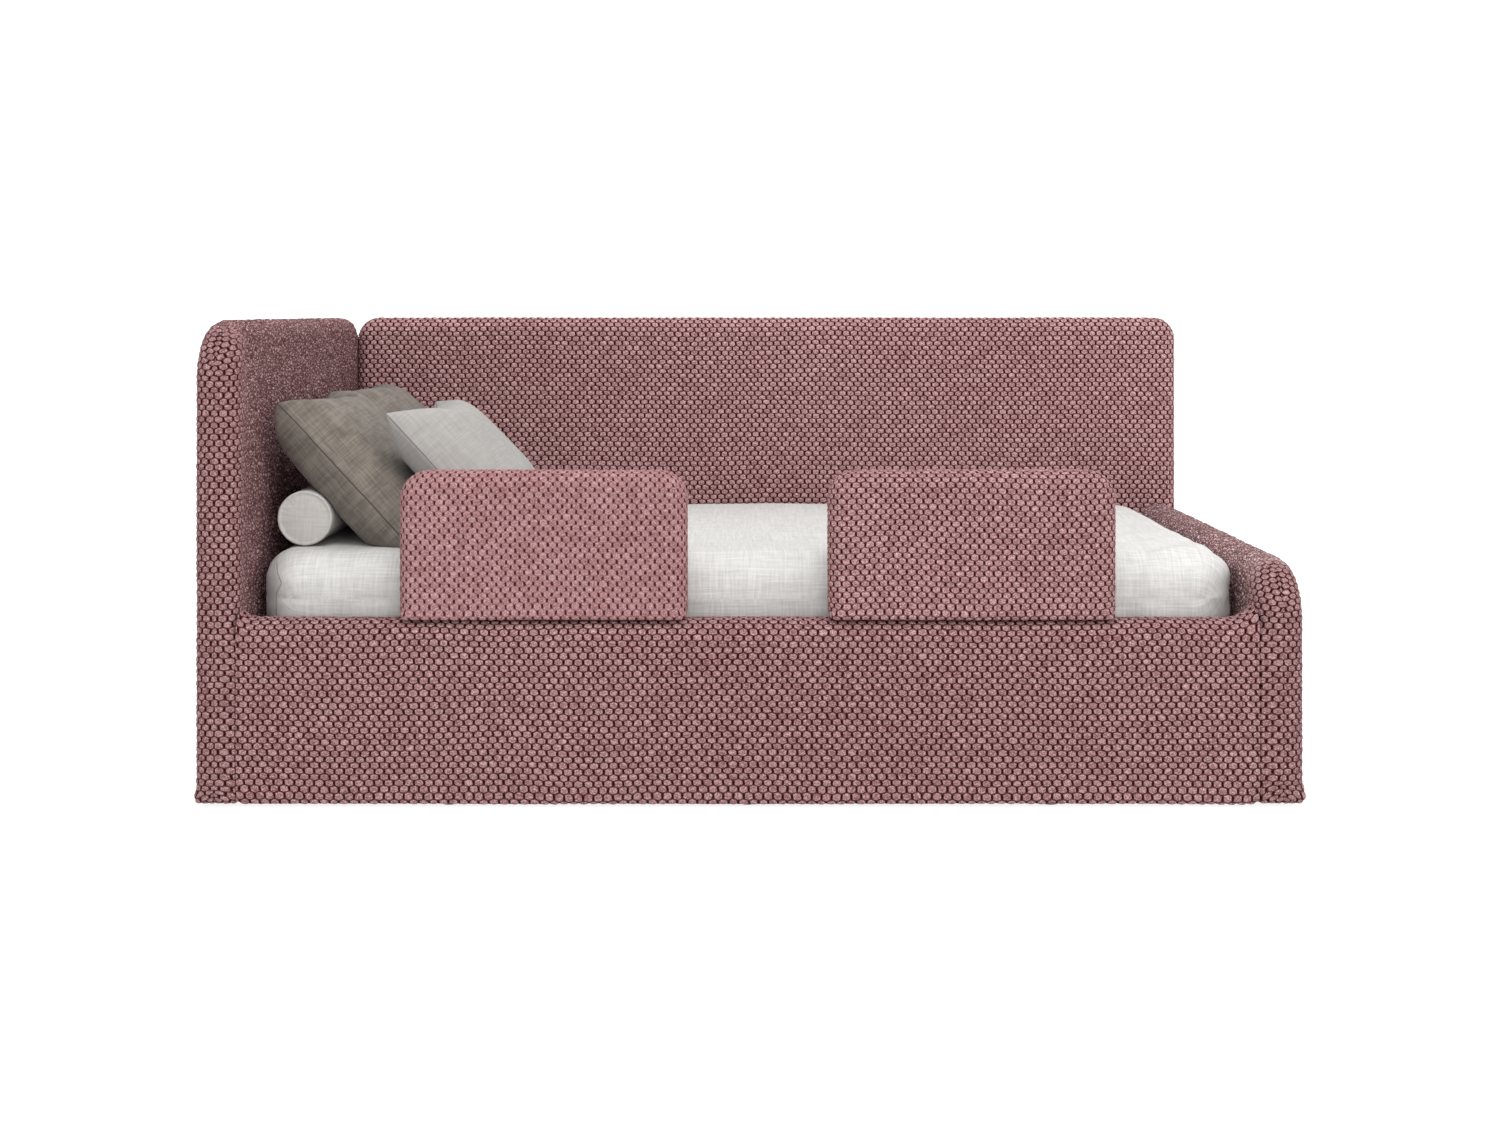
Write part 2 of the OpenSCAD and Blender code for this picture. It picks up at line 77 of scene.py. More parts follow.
def make_camera():
    data = bpy.data.cameras.new("camera")
    camera = bpy.data.objects.new("camera", data)
    scene.collection.objects.link(camera)
    camera.location = (0.0, CAD_LOW.y - CAMERA_DISTANCE, CAMERA_HEIGHT)
    camera.rotation_euler = (math.pi / 2, 0.0, 0.0)
    data.sensor_width = 36.0
    data.lens = CAMERA_LENS
    data.shift_y = CAMERA_SHIFT
    data.clip_start = 0.05
    data.clip_end = 60.0
    scene.camera = camera


make_camera()

# ---------------------------------------------------------------- noise in numpy


def lattice(i, j, seed):
    """Repeatable value from -1 to 1 for each pair of whole numbers."""
    n = (i.astype(np.int64) * 374761393 + j.astype(np.int64) * 668265263 + seed * 974634777) & 0xFFFFFFFF
    n = ((n ^ (n >> 13)) * 1274126177) & 0xFFFFFFFF
    n = n ^ (n >> 16)
    return (n & 0xFFFF) / 32767.5 - 1.0


def smooth_noise(u, v, seed):
    """Smooth value from -1 to 1 that changes over a distance of about 1."""
    i, j = np.floor(u), np.floor(v)
    s, t = u - i, v - j
    s = s * s * (3 - 2 * s)
    t = t * t * (3 - 2 * t)
    near = lattice(i, j, seed) * (1 - s) + lattice(i + 1, j, seed) * s
    far = lattice(i, j + 1, seed) * (1 - s) + lattice(i + 1, j + 1, seed) * s
    return near * (1 - t) + far * t


def smooth_step(low, high, x):
    t = np.clip((x - low) / (high - low), 0.0, 1.0)
    return t * t * (3 - 2 * t)


# ---------------------------------------------------------------- meshes from arrays


def make_object(name, points, faces, uv=None, weights=None):
    """Mesh object from arrays: points (n, 3), faces (m, 4), uv (m, 4, 2), and named point weights."""
    mesh = bpy.data.meshes.new(name)
    mesh.vertices.add(len(points))
    mesh.vertices.foreach_set("co", np.ascontiguousarray(points, np.float32).ravel())
    mesh.loops.add(faces.size)
    mesh.loops.foreach_set("vertex_index", np.ascontiguousarray(faces, np.int32).ravel())
    mesh.polygons.add(len(faces))
    mesh.polygons.foreach_set("loop_start", np.arange(0, faces.size, faces.shape[1], dtype=np.int32))
    mesh.polygons.foreach_set("use_smooth", np.ones(len(faces), bool))
    if uv is not None:
        layer = mesh.uv_layers.new(name="cloth")
        layer.data.foreach_set("uv", np.ascontiguousarray(uv, np.float32).ravel())
    for label, values in (weights or {}).items():
        attribute = mesh.attributes.new(label, "FLOAT", "POINT")
        attribute.data.foreach_set("value", np.ascontiguousarray(values, np.float32))
    mesh.update(calc_edges=True)
    mesh.validate()
    piece = bpy.data.objects.new(name, mesh)
    scene.collection.objects.link(piece)
    return piece


def points_of(piece):
    co = np.zeros(len(piece.data.vertices) * 3, np.float32)
    piece.data.vertices.foreach_get("co", co)
    return co.reshape(-1, 3).astype(float)


def set_points(piece, points):
    piece.data.vertices.foreach_set("co", np.ascontiguousarray(points, np.float32).ravel())
    piece.data.update()


# ---------------------------------------------------------------- shader building


SOCKETS = {"sheen": "Sheen Weight", "sheen_roughness": "Sheen Roughness", "specular": "Specular IOR Level",
           "metallic": "Metallic", "subsurface": "Subsurface Weight"}


class Shader:
    """Short calls for building one material's node tree."""

    def __init__(self, name):
        self.material = bpy.data.materials.new(name)
        self.material.use_nodes = True
        self.tree = self.material.node_tree
        self.tree.nodes.clear()
        self.output = self.tree.nodes.new("ShaderNodeOutputMaterial")
        self.surface = self.tree.nodes.new("ShaderNodeBsdfPrincipled")
        self.tree.links.new(self.surface.outputs["BSDF"], self.output.inputs["Surface"])

    def node(self, kind, inputs=(), **settings):
        made = self.tree.nodes.new(kind)
        for key, value in settings.items():
            setattr(made, key, value)
        for key, value in dict(inputs).items():
            self.put(made.inputs[key], value)
        return made

    def put(self, socket, value):
        if isinstance(value, bpy.types.NodeSocket):
            self.tree.links.new(value, socket)
        elif isinstance(value, (tuple, list)) and socket.type == "RGBA" and len(value) == 3:
            socket.default_value = (*value, 1.0)
        else:
            socket.default_value = value

    def math(self, operation, a, b=0.0, c=0.0, clamp=False):
        made = self.node("ShaderNodeMath", {0: a, 1: b, 2: c}, operation=operation, use_clamp=clamp)
        return made.outputs[0]

    def ramp(self, value, low, high, to_low=0.0, to_high=1.0):
        """Smooth step of a value from low to high."""
        made = self.node("ShaderNodeMapRange", {0: value, 1: low, 2: high, 3: to_low, 4: to_high},
                         interpolation_type="SMOOTHSTEP")
        return made.outputs[0]

    def mix(self, factor, a, b):
        made = self.node("ShaderNodeMix", data_type="RGBA")
        self.put(made.inputs[0], factor)
        self.put(made.inputs[6], a)
        self.put(made.inputs[7], b)
        return made.outputs[2]

    def join(self, x, y, z=0.0):
        return self.node("ShaderNodeCombineXYZ", {0: x, 1: y, 2: z}).outputs[0]

    def noise(self, vector, scale, detail=2.0, roughness=0.5, distortion=0.0):
        made = self.node("ShaderNodeTexNoise", {"Vector": vector, "Scale": scale, "Detail": detail,
                                                "Roughness": roughness, "Distortion": distortion})
        return made.outputs[0]

    def stretched(self, vector, factors):
        made = self.node("ShaderNodeMapping", {"Vector": vector, "Scale": factors})
        return made.outputs[0]

    def cloth_uv(self):
        made = self.node("ShaderNodeUVMap", uv_map="cloth")
        return made.outputs[0]

    def place(self):
        return self.node("ShaderNodeTexCoord").outputs["Object"]

    def bump(self, height, strength, distance):
        made = self.node("ShaderNodeBump", {"Height": height, "Strength": strength, "Distance": distance})
        self.put(self.surface.inputs["Normal"], made.outputs[0])

    def finish(self, colour, roughness, **constants):
        self.put(self.surface.inputs["Base Color"], colour)
        self.put(self.surface.inputs["Roughness"], roughness)
        for key, value in constants.items():
            self.put(self.surface.inputs[SOCKETS[key]], value)
        return self.material


# ---------------------------------------------------------------- the basket weave

# Colour of the gaps between the floats: partly the cloth's own colour, partly painted shade in the recesses
WEAVE_GAP_SHADE = (0.027, 0.0012, 0.0018)
WEAVE_BASE = (0.146, 0.056, 0.058)
# Pale end of the cloth's colour, reached by the painted highlight strokes and the lighter fuzz
WEAVE_PALE_AND_HIGHLIGHT = (0.660, 0.440, 0.444)
ROW_WEAVE = 0.10   # how far each row swings round the floats above and below it
SLANT = 0.03       # how far the end of a float leans over one row
WEAVE_LIMIT = 0.88   # lightest that a tinted float may be
WEAVE_BUMP = 0.0030


def tinted(colour, amount, limit=math.inf):
    return tuple(min(c * amount, limit) for c in colour)


def weave_material(name, painted_light_tint=1.0, ends=1.0, lines=1.0, glints=1.0, fine_painted_light=1.0):
    """Chunky chenille weave. The uv is in cells: one unit is one float of yarn across and one row up.

    ends and lines are the strength of the dark gaps at the ends of the floats and between
    the rows, which are partly painted shade, and glints is the strength of the painted highlight strokes.
    The tint makes a lighter or darker copy of the one cloth for each piece: painted light. The fine tint
    is how much lighter the cloth is painted where it reads as fine knots: painted light on the inner faces
    and top edges of the end panels, which lie in shade."""
    s = Shader(name)
    uv = s.cloth_uv()
    wobble = s.node("ShaderNodeTexNoise", {"Vector": uv, "Scale": 1.3, "Detail": 2.0})
    drift = s.node("ShaderNodeVectorMath", {0: wobble.outputs[1], 1: (0.5, 0.5, 0.5)}, operation="SUBTRACT")
    moved = s.node("ShaderNodeVectorMath", {0: drift.outputs[0], 1: (0.22, 0.26, 0.0), 2: uv},
                   operation="MULTIPLY_ADD")
    parts = s.node("ShaderNodeSeparateXYZ", {0: moved.outputs[0]})
    u, v = parts.outputs[0], parts.outputs[1]
    swing = s.math("MULTIPLY", s.math("COSINE", s.math("MULTIPLY", u, 2 * math.pi)),
                   s.math("COSINE", s.math("MULTIPLY", v, math.pi)))
    v = s.math("SUBTRACT", v, s.math("MULTIPLY", swing, ROW_WEAVE))
    row = s.math("FLOOR", v)
    half = s.math("MULTIPLY", s.math("FLOORED_MODULO", row, 2.0), 0.5)
    lean_in_row = s.math("MULTIPLY", s.math("SUBTRACT", s.math("FRACT", v), 0.5), SLANT)
    shifted = s.math("ADD", s.math("ADD", u, half), lean_in_row)
    across = s.math("MULTIPLY", s.math("ABSOLUTE", s.math("SUBTRACT", s.math("FRACT", shifted), 0.5)), 2.0)
    along = s.math("MULTIPLY", s.math("ABSOLUTE", s.math("SUBTRACT", s.math("FRACT", v), 0.5)), 2.0)
    cell = s.node("ShaderNodeTexWhiteNoise", {"Vector": s.join(s.math("FLOOR", shifted), row)},
                  noise_dimensions="3D").outputs[0]
    fuzz = s.noise(s.stretched(uv, (11.0, 7.0, 1.0)), 1.0, detail=3.0, roughness=0.75)
    rough = s.math("MULTIPLY", s.math("SUBTRACT", fuzz, 0.5), 0.22)
    # Each float of yarn is an oval; the gap round it is darkest at its two ends. The dark gaps are partly the
    # cloth's own colour between the floats and partly painted shade in the recesses
    tick = s.math("MULTIPLY", s.ramp(s.math("ADD", across, rough), 0.66, 0.88), s.ramp(along, 1.12, 0.62))
    between = s.math("MULTIPLY", s.ramp(s.math("ADD", along, rough), 0.62, 0.98), 0.78 * lines)
    radial = s.math("ADD", s.math("POWER", across, 2.8), s.math("POWER", along, 2.8))
    corners = s.math("MULTIPLY", s.ramp(radial, 0.72, 1.15), 0.92 * lines)
    gap = s.math("MAXIMUM", s.math("MAXIMUM", s.math("MULTIPLY", tick, ends), between), corners)
    # Chenille: painted highlights in short strokes, where the crimped strands would catch the light, mostly
    # just inside the oval's edge
    strands = s.noise(s.stretched(uv, (2.9, 2.2, 1.0)), 1.0, detail=1.5, roughness=0.55, distortion=1.3)
    off_ridge = s.math("ABSOLUTE", s.math("SUBTRACT", strands, 0.5))
    ridge = s.math("SUBTRACT", 1.0, s.math("MULTIPLY", off_ridge, 8.0))
    off_rim = s.math("ABSOLUTE", s.math("SUBTRACT", radial, 0.34))
    rim = s.math("SUBTRACT", 1.0, s.math("MULTIPLY", off_rim, 4.5), clamp=True)
    pieces = s.noise(s.stretched(uv, (3.3, 2.6, 1.0)), 1.0, detail=2.0, roughness=0.6)
    painted_highlight = s.math("MAXIMUM", s.math("MULTIPLY", rim, s.ramp(pieces, 0.47, 0.60)),
                    s.math("MULTIPLY", s.ramp(ridge, 0.35, 0.95), 0.75))
    painted_highlight = s.math("MULTIPLY", painted_highlight, s.ramp(fuzz, 0.38, 0.58, 0.35, 1.0))
    broad = s.noise(s.stretched(uv, (0.035, 0.02, 1.0)), 1.0, detail=2.0)
    tone = s.math("ADD", s.math("MULTIPLY", s.math("SUBTRACT", cell, 0.5), 0.09),
                  s.math("MULTIPLY", s.math("SUBTRACT", broad, 0.5), 0.12))
    # Where the cloth is stretched thin round the end panels it reads as fine knots instead of rows
    fine = s.node("ShaderNodeAttribute", attribute_name="fine").outputs["Fac"]
    knots = s.node("ShaderNodeTexVoronoi", {"Vector": s.stretched(uv, (1.9, 1.6, 1.0)), "Scale": 1.0,
                                            "Randomness": 1.0}, feature="DISTANCE_TO_EDGE")
    # The gaps between the fine knots are darkened the same way: partly own colour, partly painted shade
    knot_gap_shade = s.math("MULTIPLY", s.ramp(knots.outputs["Distance"], 0.26, 0.03), 0.80)
    gap = s.math("ADD", s.math("MULTIPLY", gap, s.math("SUBTRACT", 1.0, fine)),
                 s.math("MULTIPLY", knot_gap_shade, fine))
    # Lighter where the painted highlight strokes and the fuzz lift it
    lift = s.math("ADD", s.math("MULTIPLY", painted_highlight, 0.72 * glints),
                  s.math("MULTIPLY", s.math("SUBTRACT", fuzz, 0.40), 0.50))
    level = s.math("ADD", s.math("ADD", lift, tone), 0.03, clamp=True)
    # Each piece's tint, and the fine tint on its fine knots, make lighter or darker copies of the one cloth:
    # painted light
    body, fine_body_painted_lighter = (s.mix(level, tinted(WEAVE_BASE, amount), tinted(WEAVE_PALE_AND_HIGHLIGHT, amount, WEAVE_LIMIT))
                       for amount in (painted_light_tint, painted_light_tint * fine_painted_light))
    body = s.mix(fine, body, fine_body_painted_lighter)
    shade = s.mix(gap, body, WEAVE_GAP_SHADE)
    yarn = s.math("ADD", s.math("MULTIPLY", s.ramp(ridge, -0.3, 1.0), 0.22), s.math("MULTIPLY", fuzz, 0.16))
    relief = s.math("ADD", s.math("MULTIPLY", s.math("SUBTRACT", 1.0, gap), 0.75), yarn)
    s.bump(relief, 1.0, WEAVE_BUMP)
    return s.finish(shade, 0.92, sheen=0.0, specular=0.06)


# Pitch of the weave: one float of yarn across, one row up
PANEL_PITCH = (0.0158, 0.0096)
GUARD_PITCH = (0.0148, 0.0087)
SAMPLES_PER_CELL = 4
RELIEF_SINK = 0.34     # share of the relief that lies below the plain surface
KNOT_HEIGHT = 0.0016   # of the fine knots
KNOT_SIZE = 0.0062
SEAM_OF_GUARD = 0.0011   # depth of the seam at mid thickness


def weave_height(u, v, seed):
    """Height from 0 to 1 of the woven face, for u and v in cells."""
    v = v - ROW_WEAVE * np.cos(2 * math.pi * u) * np.cos(math.pi * v)
    row = np.floor(v + 1e-6)
    shifted = u + 0.5 * np.mod(row, 2) + SLANT * (v - row - 0.5)
    across = np.abs(2 * (shifted - np.floor(shifted + 1e-6)) - 1)
    along = np.abs(2 * (v - row) - 1)
    plump = (1 - across ** 3) * (0.86 + 0.14 * lattice(np.floor(shifted + 1e-6), row, seed))
    row_share = (1 - along ** 2.4)
    return 0.34 * (1 - row_share) + plump * row_share


def padded_shell(name, size, place, corners, roll, pitch, relief, tight=None, fine=None, seed=1,
                 seam=0.0, extra=None):
    """Cover of a padded slab: two faces that roll over the edges and meet at mid thickness.

    size is (width, height, thickness), and place maps local (along, out, up) to the row frame.
    corners are the outline radii at (low minus, low plus, high minus, high plus).
    relief(cell u, cell v, side) is the cloth's own height in metres.
    tight(along, up, way up, side) is the share of the full rolled edge that is left there, up to 1.
    fine(along, up, side) is how far the cloth's rows give way to fine knots, from 0 to 1.
    seam is how deep the line where the two faces meet is drawn in."""
    width, height, thick = size
    reach = math.pi / 2 * roll + thick / 2 - roll
    step_u, step_v = pitch[0] / SAMPLES_PER_CELL, pitch[1] / SAMPLES_PER_CELL
    flat_u = width / 2 - roll
    count_u = int(math.ceil((flat_u + reach) / step_u)) + 1
    first_v = int(math.floor((roll - reach) / step_v)) - 1
    last_v = int(math.ceil((height - roll + reach) / step_v)) + 1
    grid_u, grid_v = np.meshgrid(np.arange(-count_u, count_u + 1) * step_u,
                                 np.arange(first_v, last_v + 1) * step_v, indexing="ij")
    columns = grid_u.shape[1]
    cell_u, cell_v = grid_u / pitch[0], grid_v / pitch[1]
    # Hand-stretched cloth: the rows wander a little
    wave_u = 0.0024 * smooth_noise(grid_u / 0.11, grid_v / 0.09, seed + 11)
    wave_v = 0.0032 * smooth_noise(grid_u / 0.13, grid_v / 0.14, seed + 13)
    wave_u += 0.0007 * smooth_noise(cell_u, cell_v / 2, seed + 12)
    wave_v += 0.0006 * smooth_noise(cell_u / 2, cell_v, seed + 14)
    u, v = grid_u + wave_u, grid_v + wave_v

    # Nearest point of the flat middle, and the way out from it
    near_u = np.clip(u, -flat_u, flat_u)
    near_v = np.clip(v, roll, height - roll)
    out_u, out_v = u - near_u, v - near_v
    away = np.zeros_like(u)
    for (side_u, side_v), radius in zip(((-1, -1), (1, -1), (-1, 1), (1, 1)), corners):
        quarter = (side_u * u >= 0) & (side_v * (v - height / 2) >= 0)
        if radius <= roll:
            # A corner sharper than the rolled edge: between a circle and a square
            power = 2 + 8 * (1 - radius / roll) ** 2
            away = np.where(quarter, (np.abs(out_u) ** power + np.abs(out_v) ** power) ** (1 / power), away)
            continue
        round_r = radius - roll
        centre_u = side_u * (flat_u - round_r)
        centre_v = roll + round_r if side_v < 0 else height - roll - round_r
        du, dv = u - centre_u, v - centre_v
        span = np.maximum(np.hypot(du, dv), 1e-9)
        zone = quarter & (side_u * du > 0) & (side_v * dv > 0)
        beyond_arc = zone & (span > round_r)
        near_u = np.where(beyond_arc, centre_u + du / span * round_r, np.where(zone, u, near_u))
        near_v = np.where(beyond_arc, centre_v + dv / span * round_r, np.where(zone, v, near_v))
        out_u = np.where(zone, u - near_u, out_u)
        out_v = np.where(zone, v - near_v, out_v)
        away = np.where(quarter, np.hypot(out_u, out_v), away)
    safe = np.maximum(away, 1e-9)
    way_u, way_v = out_u / safe, out_v / safe
    way = np.maximum(np.hypot(way_u, way_v), 1e-9)
    travel = np.minimum(away, reach)
    to_seam = reach - travel
    at_seam = travel >= reach - 1e-9

    def fineness(side):
        return 0 * u if fine is None else fine(u, v, side) + 0 * u

    def face(side):
        # Edge profile: straight, a quarter circle of a share of the roll, straight
        share = np.ones_like(u) if tight is None else np.clip(tight(u, v, way_v, side), 0.04, 1.0)
        path = np.clip(travel / (math.pi / 2 * roll), 0.0, 1.0) * (2 * (1 - share) + share * math.pi / 2)
        angle = np.clip((path - (1 - share)) / share, 0.0, math.pi / 2)
        after = np.maximum(path - (1 - share) - share * math.pi / 2, 0.0)
        edge_out = np.minimum(path, 1 - share) + share * np.sin(angle)
        edge_in = share * np.cos(angle) + (1 - share) - after
        normal_out, normal_in = np.sin(angle), np.cos(angle)
        straight = np.maximum(travel - math.pi / 2 * roll, 0.0)
        lift = relief(cell_u, cell_v, side) * (1 - 0.8 * fineness(side))
        lift += KNOT_HEIGHT * fineness(side) * smooth_noise(grid_u / KNOT_SIZE, grid_v / KNOT_SIZE, seed + 16)
        lift += 0.0005 * smooth_noise(grid_u / 0.19, grid_v / 0.15, seed + 15)
        lift = lift * smooth_step(0.0, 0.004, to_seam) - seam * (1 - smooth_step(0.0, 0.0045, to_seam))
        along = near_u + way_u * roll * edge_out + way_u / way * normal_out * lift
        up = near_v + way_v * roll * edge_out + way_v / way * normal_out * lift
        out = np.where(at_seam, 0.0, thick / 2 - roll + roll * edge_in - straight + normal_in * lift)
        local = np.stack([along, out, up], -1).reshape(-1, 3)
        return local if extra is None else extra(local)

    # Keep the quads that have a corner inside the seam line
    beyond = away > reach
    kept = ~(beyond[:-1, :-1] & beyond[1:, :-1] & beyond[1:, 1:] & beyond[:-1, 1:])
    i, j = np.nonzero(kept)
    quads = grid_quads(i, j, columns)
    used = np.zeros(u.size, bool)
    used[quads.ravel()] = True
    number = np.full(u.size, -1)
    number[used] = np.arange(used.sum())
    mirrored = used & ~at_seam.ravel()
    number_back = number.copy()
    number_back[mirrored] = used.sum() + np.arange(mirrored.sum())
    front, back = face(1), face(-1) * np.array([1, -1, 1])
    points = np.concatenate([front[used], back[mirrored]])
    cells = np.stack([cell_u.ravel(), cell_v.ravel()], -1)
    uv = np.concatenate([cells[quads], cells[quads[:, ::-1]] + np.array([1000.0, 0.0])])
    seam_weight = (1 - smooth_step(0.0, 0.006, to_seam)).ravel()
    weights = {"seam": np.concatenate([seam_weight[used], seam_weight[mirrored]]),
               "fine": np.concatenate([fineness(1).ravel()[used], fineness(-1).ravel()[mirrored]])}
    faces = np.concatenate([number[quads], number_back[quads][:, ::-1]])
    return make_object(name, place(points), faces, uv, weights)


def grid_quads(i, j, columns):
    """Corner numbers of the quads at rows i and columns j of a grid."""
    first = i * columns + j
    return np.stack([first, first + columns, first + columns + 1, first + 1], -1)


def cut_end(local, low=None, high=None):
    """Cuts a slab off flat at the given places along it."""
    local[:, 0] = np.clip(local[:, 0], low, high)
    return local


def weave_relief(amount, seed):
    """Relief of a woven face that is amount metres deep."""
    def relief(cell_u, cell_v, side):
        return amount * (weave_height(cell_u, cell_v, seed + (side < 0)) - RELIEF_SINK)
    return relief


def clean_winding(piece):
    """Turns the faces outwards where a placement mirrors the local frame."""
    work = bmesh.new()
    work.from_mesh(piece.data)
    bmesh.ops.recalc_face_normals(work, faces=work.faces)
    work.to_mesh(piece.data)
    work.free()


# ---------------------------------------------------------------- the four panels and two guards


def along_x(centre_x, centre_y, base_z, face=-1):
    """Placement of a slab that runs along X and whose first face looks to -Y (face -1) or +Y."""
    def place(p):
        return np.stack([centre_x + p[:, 0], centre_y + face * p[:, 1], base_z + p[:, 2]], -1)
    return place


def along_y(centre_x, centre_y, base_z, face=1):
    """Placement of a slab that runs along Y and whose first face looks to +X (face 1) or -X."""
    def place(p):
        return np.stack([centre_x + face * p[:, 1], centre_y + p[:, 0], base_z + p[:, 2]], -1)
    return place


def slab_of(node):
    """Low corner, middle and size of a node's box."""
    low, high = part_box(node)
    return low, (low + high) / 2, high - low


PANEL_ROLL = 0.028
FOOT_ROLL = 0.036
GUARD_ROLL = 0.026
END_CORNER = 0.095
BACK_CORNER = 0.042
GUARD_CORNER = 0.044
LOW_CORNER = 0.010
PANEL_RELIEF = 0.0034
# Share of the rolled edge that is left where the cloth is pulled tight or lies beside another panel
BOTTOM_SHARE = 0.30
BESIDE_SHARE = 0.16


def bottom_tight(way_v):
    """The lower edges are pulled tight over the board."""
    return 1 - (1 - BOTTOM_SHARE) * smooth_step(0.55, 0.97, -way_v)


def pulled_under(u, v, way_v, side):
    return bottom_tight(way_v)


def inner_fine(length, height):
    """The inner face and the top edge of an end panel, behind its rounded front edge."""
    def fine(u, v, side):
        reach = 1 if side > 0 else smooth_step(height - 0.03, height, v)
        return smooth_step(0.012, 0.075, u + length / 2) * reach
    return fine


def finish_cover(piece, body, material, nodes):
    clean_winding(piece)
    piece.data.materials.append(material)
    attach(piece, body)
    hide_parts(*nodes)


FRONT_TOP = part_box("front_board_cover")[1].z


def tight_beside_front(near_front, v, way_v, side, top):
    """The front board presses against the lower inner edge of an end panel."""
    beside = near_front * smooth_step(top, top - 0.035, v) if side > 0 else 0 * v
    return bottom_tight(way_v) * (1 - beside) + BESIDE_SHARE * beside


def make_headboard(material):
    low, mid, size = slab_of("headboard_cover")

    def tight(u, v, way_v, side):
        return tight_beside_front(smooth_step(-0.36, -0.42, u), v, way_v, side, FRONT_TOP - low.z)

    piece = padded_shell("headboard_upholstery", (size.y, size.z, size.x), along_y(mid.x, mid.y, low.z),
                         (LOW_CORNER, LOW_CORNER, END_CORNER, END_CORNER), PANEL_ROLL, PANEL_PITCH,
                         weave_relief(PANEL_RELIEF, 3), tight, inner_fine(size.y, size.z), seed=3)
    finish_cover(piece, "frame", material, ["headboard_cover"])


def make_footboard(material):
    low, mid, size = slab_of("footboard_cover")
    # Made longer at the back and cut off flat there, against the back panel
    spare = FOOT_ROLL
    end_u = (size.y - spare) / 2

    def tight(u, v, way_v, side):
        return tight_beside_front(smooth_step(-0.32, -0.38, u), v, way_v, side, FRONT_TOP - low.z)

    piece = padded_shell("footboard_upholstery", (size.y + spare, size.z, size.x),
                         along_y(mid.x, mid.y + spare / 2, low.z, face=-1),
                         (LOW_CORNER, 0.002, END_CORNER, 0.002), FOOT_ROLL, PANEL_PITCH,
                         weave_relief(PANEL_RELIEF, 5), tight, inner_fine(size.y, size.z), seed=5,
                         extra=lambda p: cut_end(p, None, end_u))
    finish_cover(piece, "frame", material, ["footboard_cover"])


def make_back_panel(material):
    low, mid, size = slab_of("back_panel_cover")
    piece = padded_shell("back_panel_upholstery", (size.x, size.z, size.y), along_x(mid.x, mid.y, low.z),
                         (LOW_CORNER, LOW_CORNER, BACK_CORNER, BACK_CORNER), PANEL_ROLL, PANEL_PITCH,
                         weave_relief(PANEL_RELIEF, 7), pulled_under, seed=7)
    finish_cover(piece, "frame", material, ["back_panel_cover"])


def make_front_board(material):
    low, mid, size = slab_of("front_board_cover")
    end_u = size.x / 2

    def shape_ends(local):
        # Cut off flat against the end panels, where the ledge sweeps up to meet them
        local = cut_end(local, -end_u, end_u)
        along, up = local[:, 0], local[:, 2]
        top = smooth_step(size.z - 0.03, size.z - 0.004, up)
        head = np.clip((0.026 - (along + end_u)) / 0.026, 0, 1) ** 2 * 0.011
        foot = np.clip((0.044 - (end_u - along)) / 0.044, 0, 1) ** 2 * 0.020
        notch = np.clip((0.012 - (end_u - np.abs(along))) / 0.012, 0, 1) ** 2 * 0.005
        notch *= smooth_step(0.03, 0.0, up)
        local[:, 2] = up + top * (head + foot) + notch
        return local

    piece = padded_shell("front_board_upholstery", (size.x + 2 * PANEL_ROLL, size.z, size.y),
                         along_x(mid.x, mid.y, low.z), (0.006, 0.006, 0.002, 0.002), PANEL_ROLL, PANEL_PITCH,
                         weave_relief(PANEL_RELIEF, 9), pulled_under, seed=9,
                         extra=shape_ends)
    finish_cover(piece, "frame", material, ["front_board_cover"])


def make_guard(side, material, amount, seed):
    low, mid, size = slab_of(f"guard_{side}_cover")
    piece = padded_shell(f"guard_{side}_upholstery", (size.x, size.z, size.y), along_x(mid.x, mid.y, low.z),
                         (LOW_CORNER, LOW_CORNER, GUARD_CORNER, GUARD_CORNER), GUARD_ROLL, GUARD_PITCH,
                         weave_relief(amount, seed), pulled_under, seed=seed, seam=SEAM_OF_GUARD)
    finish_cover(piece, f"guard_{side}", material, [f"guard_{side}_cover"])


# Lighter and darker copies of the one cloth, fitted to how bright each piece reads: painted light. The head
# and foot copies are painted lighter still on their inner faces
panel_weave = weave_material("rose_weave", painted_light_tint=1.04)
left_weave = weave_material("rose_weave_left_guard_painted_lighter", painted_light_tint=1.36, ends=0.92, lines=0.32, glints=0.60)
right_weave = weave_material("rose_weave_right_guard_painted_lighter", painted_light_tint=1.20, ends=1.0, lines=0.80, glints=0.95)
back_weave = weave_material("rose_weave_back_painted_lighter", painted_light_tint=1.34)
head_weave = weave_material("rose_weave_head_painted_light", painted_light_tint=0.97, fine_painted_light=1.55)
foot_weave = weave_material("rose_weave_foot_painted_light", painted_light_tint=0.94, fine_painted_light=2.9)
make_headboard(head_weave)
make_footboard(foot_weave)
make_back_panel(back_weave)
make_front_board(panel_weave)
make_guard("left", left_weave, 0.0022, 21)
make_guard("right", right_weave, 0.0028, 23)

# ---------------------------------------------------------------- linen bedding

MATTRESS_ROLL = 0.052
MATTRESS_CORNER = 0.080
MATTRESS_PITCH = (0.036, 0.036)   # of its mesh: a linen sheet has no cells
SEAM_KINK_Z = 0.098   # above the mattress's underside
SEAM_KINK = 0.0106    # how far the kink points away from the end
SEAM_INSET = 0.0295   # from the mattress's end
BELOW_KINK = 0.019    # height over which the seam runs in to the kink

